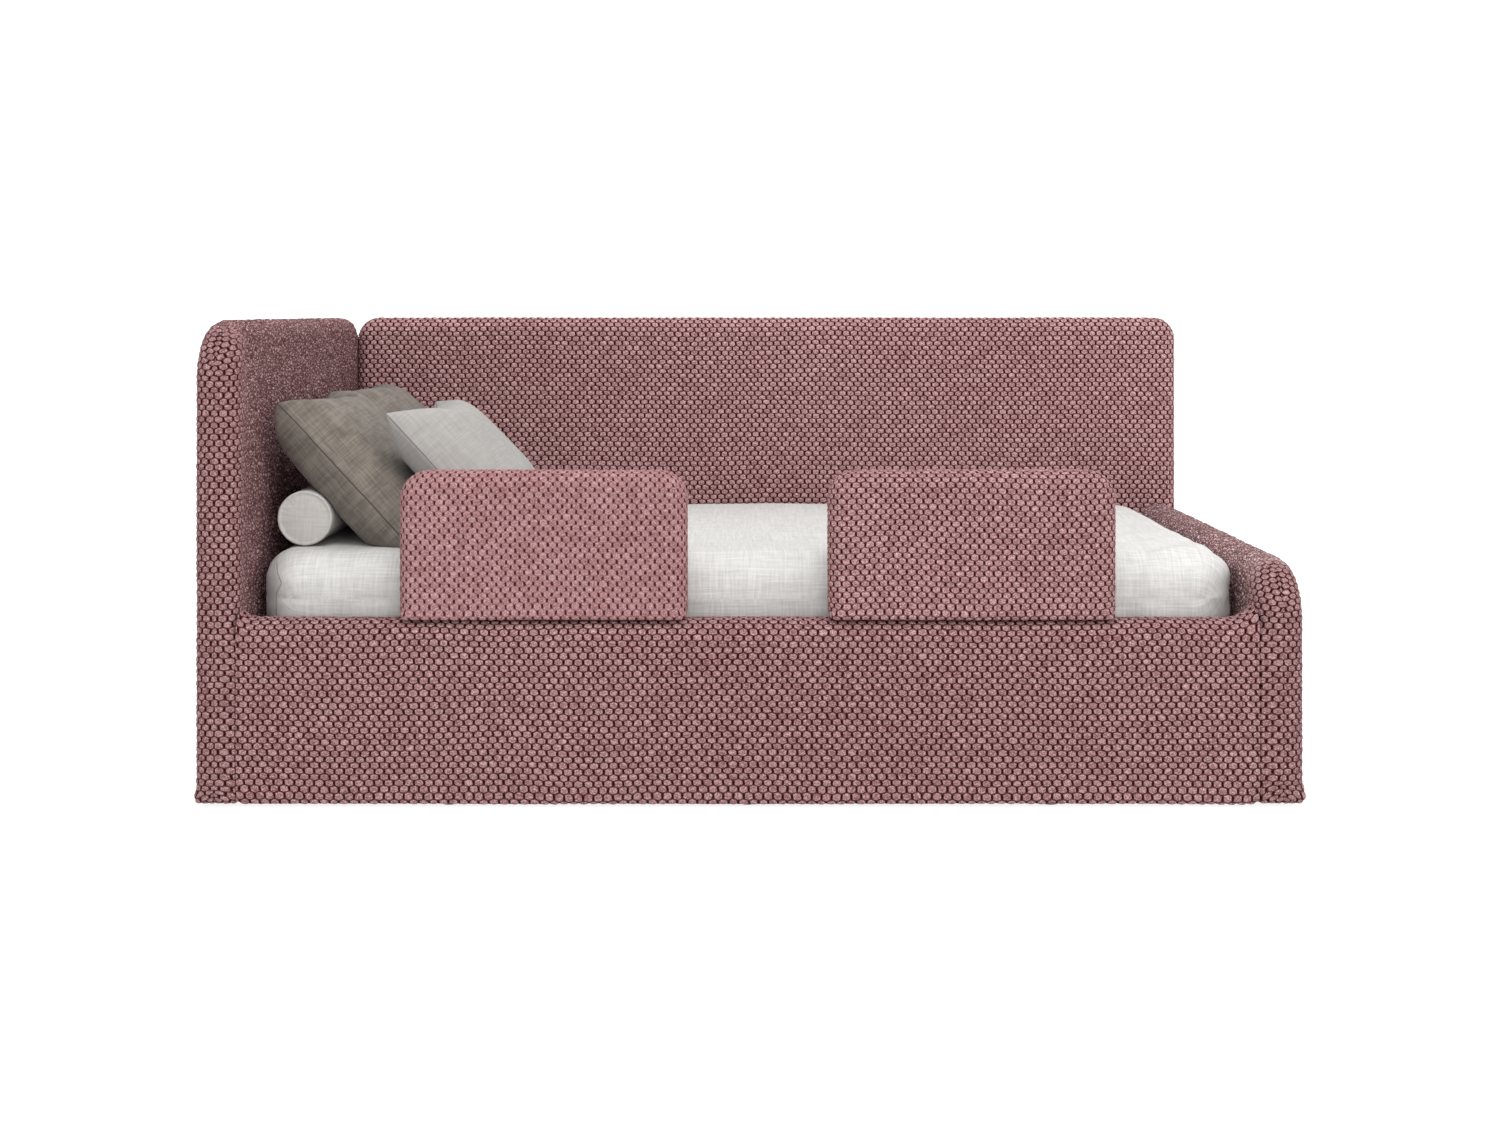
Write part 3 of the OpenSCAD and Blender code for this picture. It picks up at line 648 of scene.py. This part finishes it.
def linen_material(name, colour, contrast=1.0, mottle=1.0, painted_seam_shade=None, corner_seam_shading=False):
    """Washed linen: slubby threads both ways over a mottled ground. The uv is in metres."""
    s = Shader(name)
    uv = s.cloth_uv()
    warp = s.noise(s.stretched(uv, (340.0, 22.0, 1.0)), 1.0, detail=3.0, roughness=0.7)
    weft = s.noise(s.stretched(uv, (20.0, 340.0, 1.0)), 1.0, detail=3.0, roughness=0.7)
    slub_warp = s.noise(s.stretched(uv, (190.0, 7.0, 1.0)), 1.0, detail=2.0)
    slub_weft = s.noise(s.stretched(uv, (6.0, 190.0, 1.0)), 1.0, detail=2.0)
    cloud = s.noise(s.stretched(uv, (26.0, 20.0, 1.0)), 1.0, detail=3.0, roughness=0.62)
    threads = s.math("ADD", s.math("SUBTRACT", warp, 0.5), s.math("SUBTRACT", weft, 0.5))
    slubs = s.math("ADD", s.math("SUBTRACT", slub_warp, 0.5), s.math("SUBTRACT", slub_weft, 0.5))
    value = s.math("ADD", s.math("MULTIPLY", threads, 1.25 * contrast),
                   s.math("MULTIPLY", slubs, 0.70 * contrast))
    value = s.math("ADD", value, s.math("MULTIPLY", s.math("SUBTRACT", cloud, 0.5), mottle))
    level = s.math("ADD", s.math("MULTIPLY", value, 0.6), 0.5, clamp=True)
    shade = s.mix(level, tinted(colour, 0.70), tinted(colour, 1.26, 0.95))
    height = s.math("ADD", threads, s.math("MULTIPLY", slubs, 0.5))
    # Painted shade in the crease along the seam weight
    if painted_seam_shade is not None:
        seam = s.node("ShaderNodeAttribute", attribute_name="seam")
        shade = s.mix(s.ramp(seam.outputs["Fac"], 0.82, 0.99), shade, painted_seam_shade)
    if corner_seam_shading:
        # Painted shade: the cloth beyond the seam is darker where the corner turns away, and the seam is a
        # dark crease line with a bump groove
        line, beyond = corner_seam_shade(s)
        shade = s.mix(s.math("MULTIPLY", beyond, 0.22), shade, tinted(colour, 0.5))
        shade = s.mix(s.math("MULTIPLY", line, 0.55), shade, tinted(colour, 0.35))
        height = s.math("SUBTRACT", height, s.math("MULTIPLY", line, 1.6))
    s.bump(height, 0.35, 0.0008)
    return s.finish(shade, 0.93, sheen=0.08, sheen_roughness=0.5, specular=0.15)


def corner_seam_shade(s):
    """Painted shade of the fitted sheet's seam near the head corners, with a kink half way down, and painted
    shade on the cloth beyond it, where the corner turns away from the light.
    """
    low, mid, size = slab_of("mattress_sheet")
    parts = s.node("ShaderNodeSeparateXYZ", {0: s.place()})
    from_end = s.math("SUBTRACT", parts.outputs[0], low.x)
    from_middle = s.math("ABSOLUTE", s.math("SUBTRACT", parts.outputs[1], mid.y))
    from_side = s.math("SUBTRACT", size.y / 2, from_middle)
    up = s.math("SUBTRACT", parts.outputs[2], low.z)
    over = s.math("SUBTRACT", up, SEAM_KINK_Z)
    above = s.math("SUBTRACT", SEAM_KINK, s.math("MULTIPLY", over, 0.54))
    rise = s.math("MULTIPLY", s.math("ADD", over, BELOW_KINK), SEAM_KINK / BELOW_KINK)
    below = s.math("MAXIMUM", rise, 0.0)
    drawn = s.math("MINIMUM", above, below)
    off = s.math("SUBTRACT", from_end, s.math("ADD", drawn, SEAM_INSET))
    at_side = s.ramp(from_side, 0.050, 0.030)
    line = s.math("MULTIPLY", s.ramp(s.math("ABSOLUTE", off), 0.0026, 0.0004), at_side)
    return line, s.math("MULTIPLY", s.ramp(off, 0.001, -0.001), at_side)




def make_mattress(material):
    low, mid, size = slab_of("mattress_sheet")

    def folds(cell_u, cell_v, side):
        """Soft creases of a fitted sheet over foam."""
        u, v = cell_u * MATTRESS_PITCH[0], cell_v * MATTRESS_PITCH[1]
        lift = 0.0016 * smooth_noise(u / 0.16, v / 0.13, 41) + 0.0008 * smooth_noise(u / 0.05, v / 0.06, 42)
        # Upright folds along the front edge
        front = smooth_step(0.10, -0.02, v)
        wander = 0.3 * smooth_noise(u / 0.2, v / 0.1, 48)
        lift += front * 0.0034 * np.maximum(smooth_noise(u / 0.055 + wander, v / 0.35, 43), -0.3)
        # Curved pull lines at the foot end
        foot = smooth_step(0.44, 0.60, u) * smooth_step(0.50, 0.0, v)
        bow = np.hypot(u - 1.02, v + 0.16)
        lift += foot * 0.0022 * np.sin(bow / 0.0115 + 2.2 * smooth_noise(u / 0.09, v / 0.09, 44))
        # Gathers round the head corner
        head = smooth_step(-0.70, -0.78, u) * smooth_step(0.16, 0.02, v)
        lift += head * 0.0020 * smooth_noise((u + v) / 0.016, (u - v) / 0.12, 45)
        return lift

    def place(p):
        return np.stack([mid.x + p[:, 0], low.y + p[:, 2], mid.z + p[:, 1]], -1)

    piece = padded_shell("mattress_linen", tuple(size), place, (MATTRESS_CORNER,) * 4, MATTRESS_ROLL,
                         MATTRESS_PITCH, folds, seed=31)
    scale_uv(piece, MATTRESS_PITCH)
    finish_cover(piece, "mattress", material, ["mattress_sheet"])


def scale_uv(piece, factors):
    layer = piece.data.uv_layers["cloth"].data
    uv = np.zeros(len(layer) * 2, np.float32)
    layer.foreach_get("uv", uv)
    layer.foreach_set("uv", (uv.reshape(-1, 2) * np.array(factors)).ravel().astype(np.float32))


BOLSTER_PIPE = 0.0028    # radius of the piped rim
BOLSTER_GROOVE = 0.0068  # how far in from the end the stitched groove lies
CAP_INSET = 0.0004       # of the end faces from the cover's box


def make_bolster(material, nodes):
    """Lathed cover with piped rims: a row of rings round the axis along Y."""
    low, mid, size = slab_of("bolster_cover")
    radius, length = size.x / 2 - 0.0006, size.y
    steps = np.linspace(0, 1, 12)
    face = [((radius - 0.006) * (0.04 + 0.96 * t), CAP_INSET + 0.0014 * t * t) for t in steps]
    # Piped rim, the stitched groove behind it, then the body
    rim = [(radius - 0.0034 + BOLSTER_PIPE * math.sin(a), 0.0034 - BOLSTER_PIPE * math.cos(a))
           for a in np.linspace(-0.7, 2.5, 11)]
    groove = [(radius - 0.0021, BOLSTER_GROOVE), (radius - 0.0014, 0.0085), (radius - 0.0004, 0.0115)]
    half = face + rim + groove
    profile = half + [(radius, y) for y in np.linspace(0.016, length - 0.016, 76)]
    profile += [(r, length - y) for r, y in reversed(half)]
    profile = np.array(profile)
    around = 128
    angle = np.linspace(0, 2 * math.pi, around, endpoint=False)
    r = profile[:, 0][:, None] * np.ones(around)
    y = profile[:, 1][:, None] * np.ones(around)
    a = angle[None, :] * np.ones((len(profile), 1))
    body = smooth_step(0.004, 0.03, y) * smooth_step(0.004, 0.03, length - y)
    ends = 1 - body
    sag = 0.0014 * smooth_noise(a * 8 / math.pi, y / 0.09, 51)
    r = r + body * (sag - 0.0012)
    pucker = ends * 0.0005 * smooth_noise(a * 14, r / 0.012, 53) * (r / radius) ** 2
    y = y + np.where(y < length / 2, pucker, -pucker)
    points = np.stack([mid.x + r * np.sin(a), low.y + y, mid.z + r * np.cos(a)], -1).reshape(-1, 3)
    rings = len(profile)
    i, j = np.meshgrid(np.arange(rings - 1), np.arange(around), indexing="ij")
    k = (j + 1) % around
    here, there = i * around, (i + 1) * around
    faces = np.stack([here + j, here + k, there + k, there + j], -1).reshape(-1, 4)
    travel = np.concatenate([[0], np.cumsum(np.hypot(np.diff(profile[:, 0]), np.diff(profile[:, 1])))])
    flat = smooth_step(0.004, 0.007, profile[:, 1]) * smooth_step(0.004, 0.007, length - profile[:, 1])
    disc = np.stack([r * np.sin(a), r * np.cos(a)], -1)
    uv = []
    for ii, jj in ((i, j), (i, j + 1), (i + 1, j + 1), (i + 1, j)):
        ring = np.stack([jj * (2 * math.pi / around) * radius, travel[ii]], -1)
        cap = disc[ii, jj % around]
        on_cap = (flat[i] < 0.5)[..., None]
        uv.append(np.where(on_cap, cap, ring))
    uv = np.stack(uv, 2).reshape(-1, 4, 2)
    # Close both ends with a small disc
    centre_low = len(points)
    points = np.concatenate([points, [[mid.x, low.y + CAP_INSET, mid.z],
                                      [mid.x, low.y + length - CAP_INSET, mid.z]]])
    ring = np.arange(0, around, 2)
    caps = [[centre_low, (q + 2) % around, q + 1, q] for q in ring]
    last = (rings - 1) * around
    caps += [[centre_low + 1, last + q, last + q + 1, last + (q + 2) % around] for q in ring]
    caps = np.array(caps)
    cap_uv = (points[caps] - np.array([mid.x, 0, mid.z]))[:, :, [0, 2]]
    # The material's painted seam shade darkens the stitched groove along this weight
    seam = np.abs(profile[:, 1] - BOLSTER_GROOVE) < 0.0004
    weight = np.concatenate([(seam[:, None] * np.ones(around)).ravel(), [0, 0]])
    piece = make_object("bolster_linen", points, np.concatenate([faces, caps]), np.concatenate([uv, cap_uv]),
                        {"seam": weight})
    finish_cover(piece, "bolster", material, nodes)


# ---------------------------------------------------------------- pillows

PILLOW_LEAN = math.radians(47.5)
PILLOW_FULLNESS = 0.75   # how much fuller than blown up the pillow is near its seams
TAKE_UP = (1.18, 1.16)   # how much larger the flat cover is than the stuffed pillow, up and across
# Centre, size up the slope and across, swell above and below the seam, seed
PILLOWS = {"grey_pillow_front": ((-0.669, -0.164, 0.512), 0.330, 0.372, 0.070, 0.076, 61),
           "grey_pillow_rear": ((-0.671, 0.215, 0.514), 0.330, 0.372, 0.068, 0.062, 67),
           "white_pillow": ((-0.500, -0.120, 0.505), 0.306, 0.456, 0.078, 0.052, 71)}


def inflate(name, across, up, seed):
    """A stuffed pillow: a flat two-layer cover blown up by a cloth simulation. X runs up the slope."""
    count_x, count_y = ((44, 50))
    x, y = np.meshgrid(np.linspace(-up / 2, up / 2, count_x),
                       np.linspace(-across / 2, across / 2, count_y), indexing="ij")
    edge = (np.abs(x) > up / 2 - 1e-6) | (np.abs(y) > across / 2 - 1e-6)
    dome = (1 - (2 * x / up) ** 2) * (1 - (2 * y / across) ** 2)
    ripple = 0.003 * smooth_noise(x / 0.05, y / 0.05, seed)
    top = np.stack([x, y, 0.012 * dome + ripple * dome], -1).reshape(-1, 3)
    low = np.stack([x, y, -0.012 * dome + ripple * dome], -1).reshape(-1, 3)
    inner = ~edge.ravel()
    number_low = np.arange(x.size)
    number_low[inner] = x.size + np.arange(inner.sum())
    i, j = np.meshgrid(np.arange(count_x - 1), np.arange(count_y - 1), indexing="ij")
    quads = grid_quads(i, j, count_y).reshape(-1, 4)
    cells = np.stack([x.ravel(), y.ravel()], -1)
    uv = np.concatenate([cells[quads], cells[quads[:, ::-1]] + np.array([3.0, 0.0])])
    # The rim weight carries the material's painted shade along the pillow's seam
    rim = np.concatenate([edge.ravel().astype(float), np.zeros(inner.sum())])
    piece = make_object(name, np.concatenate([top, low[inner]]),
                        np.concatenate([quads, number_low[quads][:, ::-1]]), uv, {"seam": rim})
    cloth = piece.modifiers.new("cloth", "CLOTH")
    settings = cloth.settings
    settings.quality = 7
    settings.mass = 0.25
    settings.tension_stiffness = settings.compression_stiffness = 18.0
    settings.shear_stiffness = 6.0
    settings.bending_stiffness = 5.0
    settings.tension_damping = settings.compression_damping = 12.0
    settings.air_damping = 6.0
    settings.use_pressure = True
    settings.uniform_pressure_force = 7.0
    settings.effector_weights.gravity = 0.0
    cloth.collision_settings.use_collision = False
    frames = 34
    for number in range(1, frames + 1):
        scene.frame_set(number)
    soften = piece.modifiers.new("soften", "SMOOTH")
    soften.factor, soften.iterations = 0.5, 5
    smooth = piece.modifiers.new("smooth", "SUBSURF")
    smooth.levels = smooth.render_levels = 2
    smooth.uv_smooth = "NONE"
    shaped = bpy.data.meshes.new_from_object(piece.evaluated_get(bpy.context.evaluated_depsgraph_get()))
    piece.modifiers.clear()
    piece.data = shaped
    scene.frame_set(1)
    shaped.polygons.foreach_set("use_smooth", np.ones(len(shaped.polygons), bool))
    return piece


def fit_pillow(piece, up, across, above, below):
    """Scales an inflated pillow to its size: up the slope, across, and how far it swells above and below."""
    p = points_of(piece)
    low, high = p.min(0), p.max(0)
    p = p - (low + high) / 2
    p[:, 0] *= up / (high[0] - low[0])
    p[:, 1] *= across / (high[1] - low[1])
    rim = np.zeros(len(p), np.float32)
    piece.data.attributes["seam"].data.foreach_get("value", rim)
    p[:, 2] -= p[rim > 0.99, 2].mean()
    top, bottom = p[:, 2].max(), -p[:, 2].min()
    swell = np.where(p[:, 2] > 0, p[:, 2] / top, p[:, 2] / bottom)
    swell *= 1 + PILLOW_FULLNESS * (1 - np.abs(swell))
    p[:, 2] = np.where(swell > 0, swell * above, swell * below)
    return p


def lean(p, at):
    """Leans a pillow back and puts it in its place."""
    c, s = math.cos(PILLOW_LEAN), math.sin(PILLOW_LEAN)
    return np.stack([at[0] + c * p[:, 0] + s * p[:, 2], at[1] + p[:, 1],
                     at[2] - s * p[:, 0] + c * p[:, 2]], -1)


def rest_against(p):
    """Flattens a soft piece where it touches the mattress, headboard, bolster and back panel."""
    bed_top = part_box("mattress_sheet")[1].z
    head_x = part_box("headboard_cover")[1].x
    back_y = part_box("back_panel_cover")[0].y
    roll_low, roll_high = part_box("bolster_cover")
    roll_mid = (roll_low + roll_high) / 2
    bolster_at = (roll_mid.x, roll_mid.z)
    bolster_r = (roll_high.x - roll_low.x) / 2
    for _ in range(2):
        d = p[:, [0, 2]] - np.array(bolster_at)
        span = np.maximum(np.linalg.norm(d, axis=1), 1e-6)
        inside = (span < bolster_r + 0.001) & (p[:, 1] > roll_low.y)
        push = (bolster_r + 0.001) / span
        p[inside, 0] = bolster_at[0] + d[inside, 0] * push[inside]
        p[inside, 2] = bolster_at[1] + d[inside, 1] * push[inside]
        p[:, 2] = np.maximum(p[:, 2], bed_top + 0.0012)
        p[:, 0] = np.maximum(p[:, 0], head_x + 0.004)
        p[:, 1] = np.minimum(p[:, 1], back_y - 0.004)
    return p


def keep_off(piece, other, way, clear=0.0010, rounds=3):
    """Pushes the vertices of one soft piece that lie inside another out along a direction."""
    tree = BVHTree.FromPolygons([v.co.copy() for v in other.data.vertices],
                                [list(f.vertices) for f in other.data.polygons])
    p = points_of(piece)
    way = Vector(way).normalized()
    for _ in range(rounds):
        for k in range(len(p)):
            point = Vector(p[k])
            spot, normal, _, gap = tree.find_nearest(point, 0.08)
            if spot is not None and (point - spot).dot(normal) < clear * 0.5:
                far = tree.ray_cast(point, way, 0.12)[0]
                deep = far is not None and gap > 0.004
                p[k] = np.array(far + way * clear if deep else spot + normal * clear)
    set_points(piece, p)


grey_linen = linen_material("grey_linen", (0.140, 0.121, 0.104), 2.3, 3.4, painted_seam_shade=(0.040, 0.034, 0.030))
cream_linen = linen_material("cream_linen", (0.280, 0.268, 0.255), 1.0, 0.7, painted_seam_shade=(0.11, 0.10, 0.095))
white_linen = linen_material("white_linen", (0.478, 0.471, 0.455), 1.25, 0.3, corner_seam_shading=True)
bolster_linen = linen_material("bolster_linen", (0.420, 0.404, 0.380), 0.8, 0.5,
                               painted_seam_shade=(0.14, 0.13, 0.12))

make_mattress(white_linen)
make_bolster(bolster_linen, ["bolster_cover", "bolster_filling"])


def make_pillows():
    made = {}
    for name, (at, up, across, above, below, seed) in PILLOWS.items():
        slot = "cream_linen" if name == "white_pillow" else "grey_linen"
        piece = inflate(f"{name}_linen", across * TAKE_UP[1], up * TAKE_UP[0], seed)
        p = lean(fit_pillow(piece, up, across, above, below), at)
        set_points(piece, rest_against(p))
        made[name] = piece
        if name == "grey_pillow_rear":
            keep_off(piece, made["grey_pillow_front"], (0, 1, 0))
        if name == "white_pillow":
            outwards = (math.sin(PILLOW_LEAN), 0, math.cos(PILLOW_LEAN))
            keep_off(piece, made["grey_pillow_front"], outwards)
            keep_off(piece, made["grey_pillow_rear"], outwards)
        linen = cream_linen if slot == "cream_linen" else grey_linen
        finish_cover(piece, name, linen, [f"{name}_cover", f"{name}_filling"])


make_pillows()

# ---------------------------------------------------------------- the pieces inside


PLY_PAIR = 0.0030   # thickness of one pale and one dark ply


def wood_material(name, pale, deep, grain_axis, layer_axis=None):
    """Sanded wood with its grain along one axis, and plies that show on the edges across layer_axis."""
    s = Shader(name)
    at = s.place()
    along = [38.0, 38.0, 38.0]
    along[grain_axis] = 1.6
    growth = s.noise(s.stretched(at, tuple(along)), 1.0, detail=4.0, roughness=0.55, distortion=0.6)
    rings = s.math("SINE", s.math("MULTIPLY", growth, 34.0))
    along = [900.0, 900.0, 900.0]
    along[grain_axis] = 18.0
    pores = s.noise(s.stretched(at, tuple(along)), 1.0, detail=3.0, roughness=0.7)
    value = s.math("ADD", s.math("MULTIPLY", rings, 0.20),
                   s.math("MULTIPLY", s.math("SUBTRACT", pores, 0.5), 1.1))
    level = s.math("ADD", value, 0.45, clamp=True)
    shade = s.mix(level, pale, deep)
    if layer_axis is not None:
        parts = s.node("ShaderNodeSeparateXYZ", {0: at})
        facing = s.node("ShaderNodeSeparateXYZ", {0: s.node("ShaderNodeNewGeometry").outputs["Normal"]})
        edge = s.ramp(s.math("ABSOLUTE", facing.outputs[layer_axis]), 0.7, 0.4)
        turns = s.math("MULTIPLY", parts.outputs[layer_axis], 2 * math.pi / PLY_PAIR)
        plies = s.ramp(s.math("SINE", turns), -0.3, 0.3)
        shade = s.mix(s.math("MULTIPLY", s.math("MULTIPLY", edge, plies), 0.55), shade, tinted(deep, 0.45))
    s.bump(value, 0.3, 0.0004)
    return s.finish(shade, s.ramp(pores, 0.3, 0.7, 0.50, 0.66), specular=0.35)


def foam_material():
    """Open-cell foam: small pits between thin walls."""
    s = Shader("open_foam")
    at = s.place()
    pits = s.node("ShaderNodeTexVoronoi", {"Vector": at, "Scale": 620.0}, feature="F1").outputs["Distance"]
    cloud = s.noise(at, 45.0, detail=3.0)
    level = s.math("ADD", s.math("MULTIPLY", s.ramp(pits, 0.15, 0.65), 0.7),
                   s.math("MULTIPLY", cloud, 0.4), clamp=True)
    s.bump(pits, 0.6, 0.0008)
    return s.finish(s.mix(level, (0.56, 0.47, 0.30), (0.86, 0.79, 0.61)), 0.95, specular=0.1)


def steel_material(name, colour, spangle, roughness):
    """Zinc-plated or satin steel: cloudy plating and fine drawn scratches."""
    s = Shader(name)
    at = s.place()
    cells = s.node("ShaderNodeTexVoronoi", {"Vector": at, "Scale": 260.0}, feature="F1").outputs["Color"]
    cells = s.node("ShaderNodeSeparateXYZ", {0: cells}).outputs[0]
    scratch = s.noise(s.stretched(at, (2200.0, 2200.0, 90.0)), 1.0, detail=3.0, roughness=0.7)
    level = s.math("ADD", s.math("MULTIPLY", cells, spangle), s.math("MULTIPLY", scratch, 0.5), clamp=True)
    s.bump(scratch, 0.15, 0.0002)
    return s.finish(s.mix(level, tinted(colour, 0.78), colour),
                    s.ramp(scratch, 0.2, 0.8, roughness - 0.08, roughness + 0.10), metallic=1.0)


def plastic_material():
    """Black moulded plastic with a spark-eroded grain and a little dust."""
    s = Shader("black_plastic")
    at = s.place()
    grain = s.noise(at, 1400.0, detail=2.0, roughness=0.6)
    dust = s.ramp(s.noise(at, 60.0, detail=4.0), 0.5, 0.8)
    s.bump(grain, 0.35, 0.0002)
    return s.finish(s.mix(s.math("MULTIPLY", dust, 0.25), (0.022, 0.022, 0.025), (0.10, 0.095, 0.09)),
                    s.ramp(grain, 0.3, 0.7, 0.42, 0.58), specular=0.5)


def dress_inner_pieces():
    """Gives every piece of the frame that is not covered by a cloth piece its material."""
    birch = ((0.90, 0.72, 0.47), (0.68, 0.47, 0.26))
    plywood_x = wood_material("plywood_along_x", (0.80, 0.60, 0.37), (0.54, 0.35, 0.18), 0, 1)
    plywood_y = wood_material("plywood_along_y", (0.80, 0.60, 0.37), (0.54, 0.35, 0.18), 1, 0)
    made = {"pine": wood_material("planed_pine", (0.76, 0.56, 0.32), (0.50, 0.30, 0.13), 0),
            "birch_slat": wood_material("sanded_birch", *birch, 1, 2),
            "foam": foam_material(),
            "zinc_steel": steel_material("zinc_plate", (0.60, 0.61, 0.63), 0.45, 0.38),
            "bright_steel": steel_material("satin_steel", (0.66, 0.67, 0.68), 0.12, 0.30),
            "black_plastic": plastic_material()}
    for entry in frame["record"]["subparts"]:
        name, slot = entry["node"], entry["material_slot"]
        if slot == "plywood":
            chosen = plywood_y if name.startswith(("head", "foot")) else plywood_x
        elif slot in made:
            chosen = made[slot]
        else:
            continue
        piece = frame["nodes"][name]
        piece.data.materials.clear()
        piece.data.materials.append(chosen)


dress_inner_pieces()

# ---------------------------------------------------------------- studio


FLOOR_GLOW = 0.85   # makes the studio floor read as pure white
WORLD_STRENGTH = 1.38
# Name, place, what it points at, size of side, watts
LIGHTS = (("key_light", (0.2, -2.2, 3.6), (0.0, 0.0, 0.3), 1.6, 70.0),
          ("front_light", (0.9, -4.4, 1.5), (-0.3, 0.0, 0.4), 2.0, 18.0),
          ("side_light", (3.4, -2.6, 1.7), (-0.8, -0.2, 0.4), 1.4, 26.0))


def make_studio():
    floor = make_object("floor", np.array([[-9, -9, 0], [9, -9, 0], [9, 9, 0], [-9, 9, 0]], float),
                        np.array([[0, 1, 2, 3]]))
    s = Shader("floor_paint")
    grain = s.noise(s.place(), 3.0)
    s.put(s.surface.inputs["Emission Color"], (1.0, 1.0, 1.0))
    s.put(s.surface.inputs["Emission Strength"], FLOOR_GLOW)
    floor.data.materials.append(s.finish(s.mix(grain, (0.24, 0.24, 0.24), (0.28, 0.28, 0.28)), 0.9))
    world = bpy.data.worlds.new("studio")
    world.use_nodes = True
    world.node_tree.nodes["Background"].inputs[0].default_value = (1.0, 1.0, 1.0, 1.0)
    world.node_tree.nodes["Background"].inputs[1].default_value = WORLD_STRENGTH
    scene.world = world
    for light in LIGHTS:
        add_light(*light)
    scene.view_settings.view_transform = "Standard"


def add_light(name, at, towards, size, power):
    data = bpy.data.lights.new(name, "AREA")
    data.size = size
    data.energy = power
    light = bpy.data.objects.new(name, data)
    scene.collection.objects.link(light)
    light.location = at
    light.rotation_euler = (Vector(towards) - Vector(at)).to_track_quat("-Z", "Y").to_euler()


make_studio()
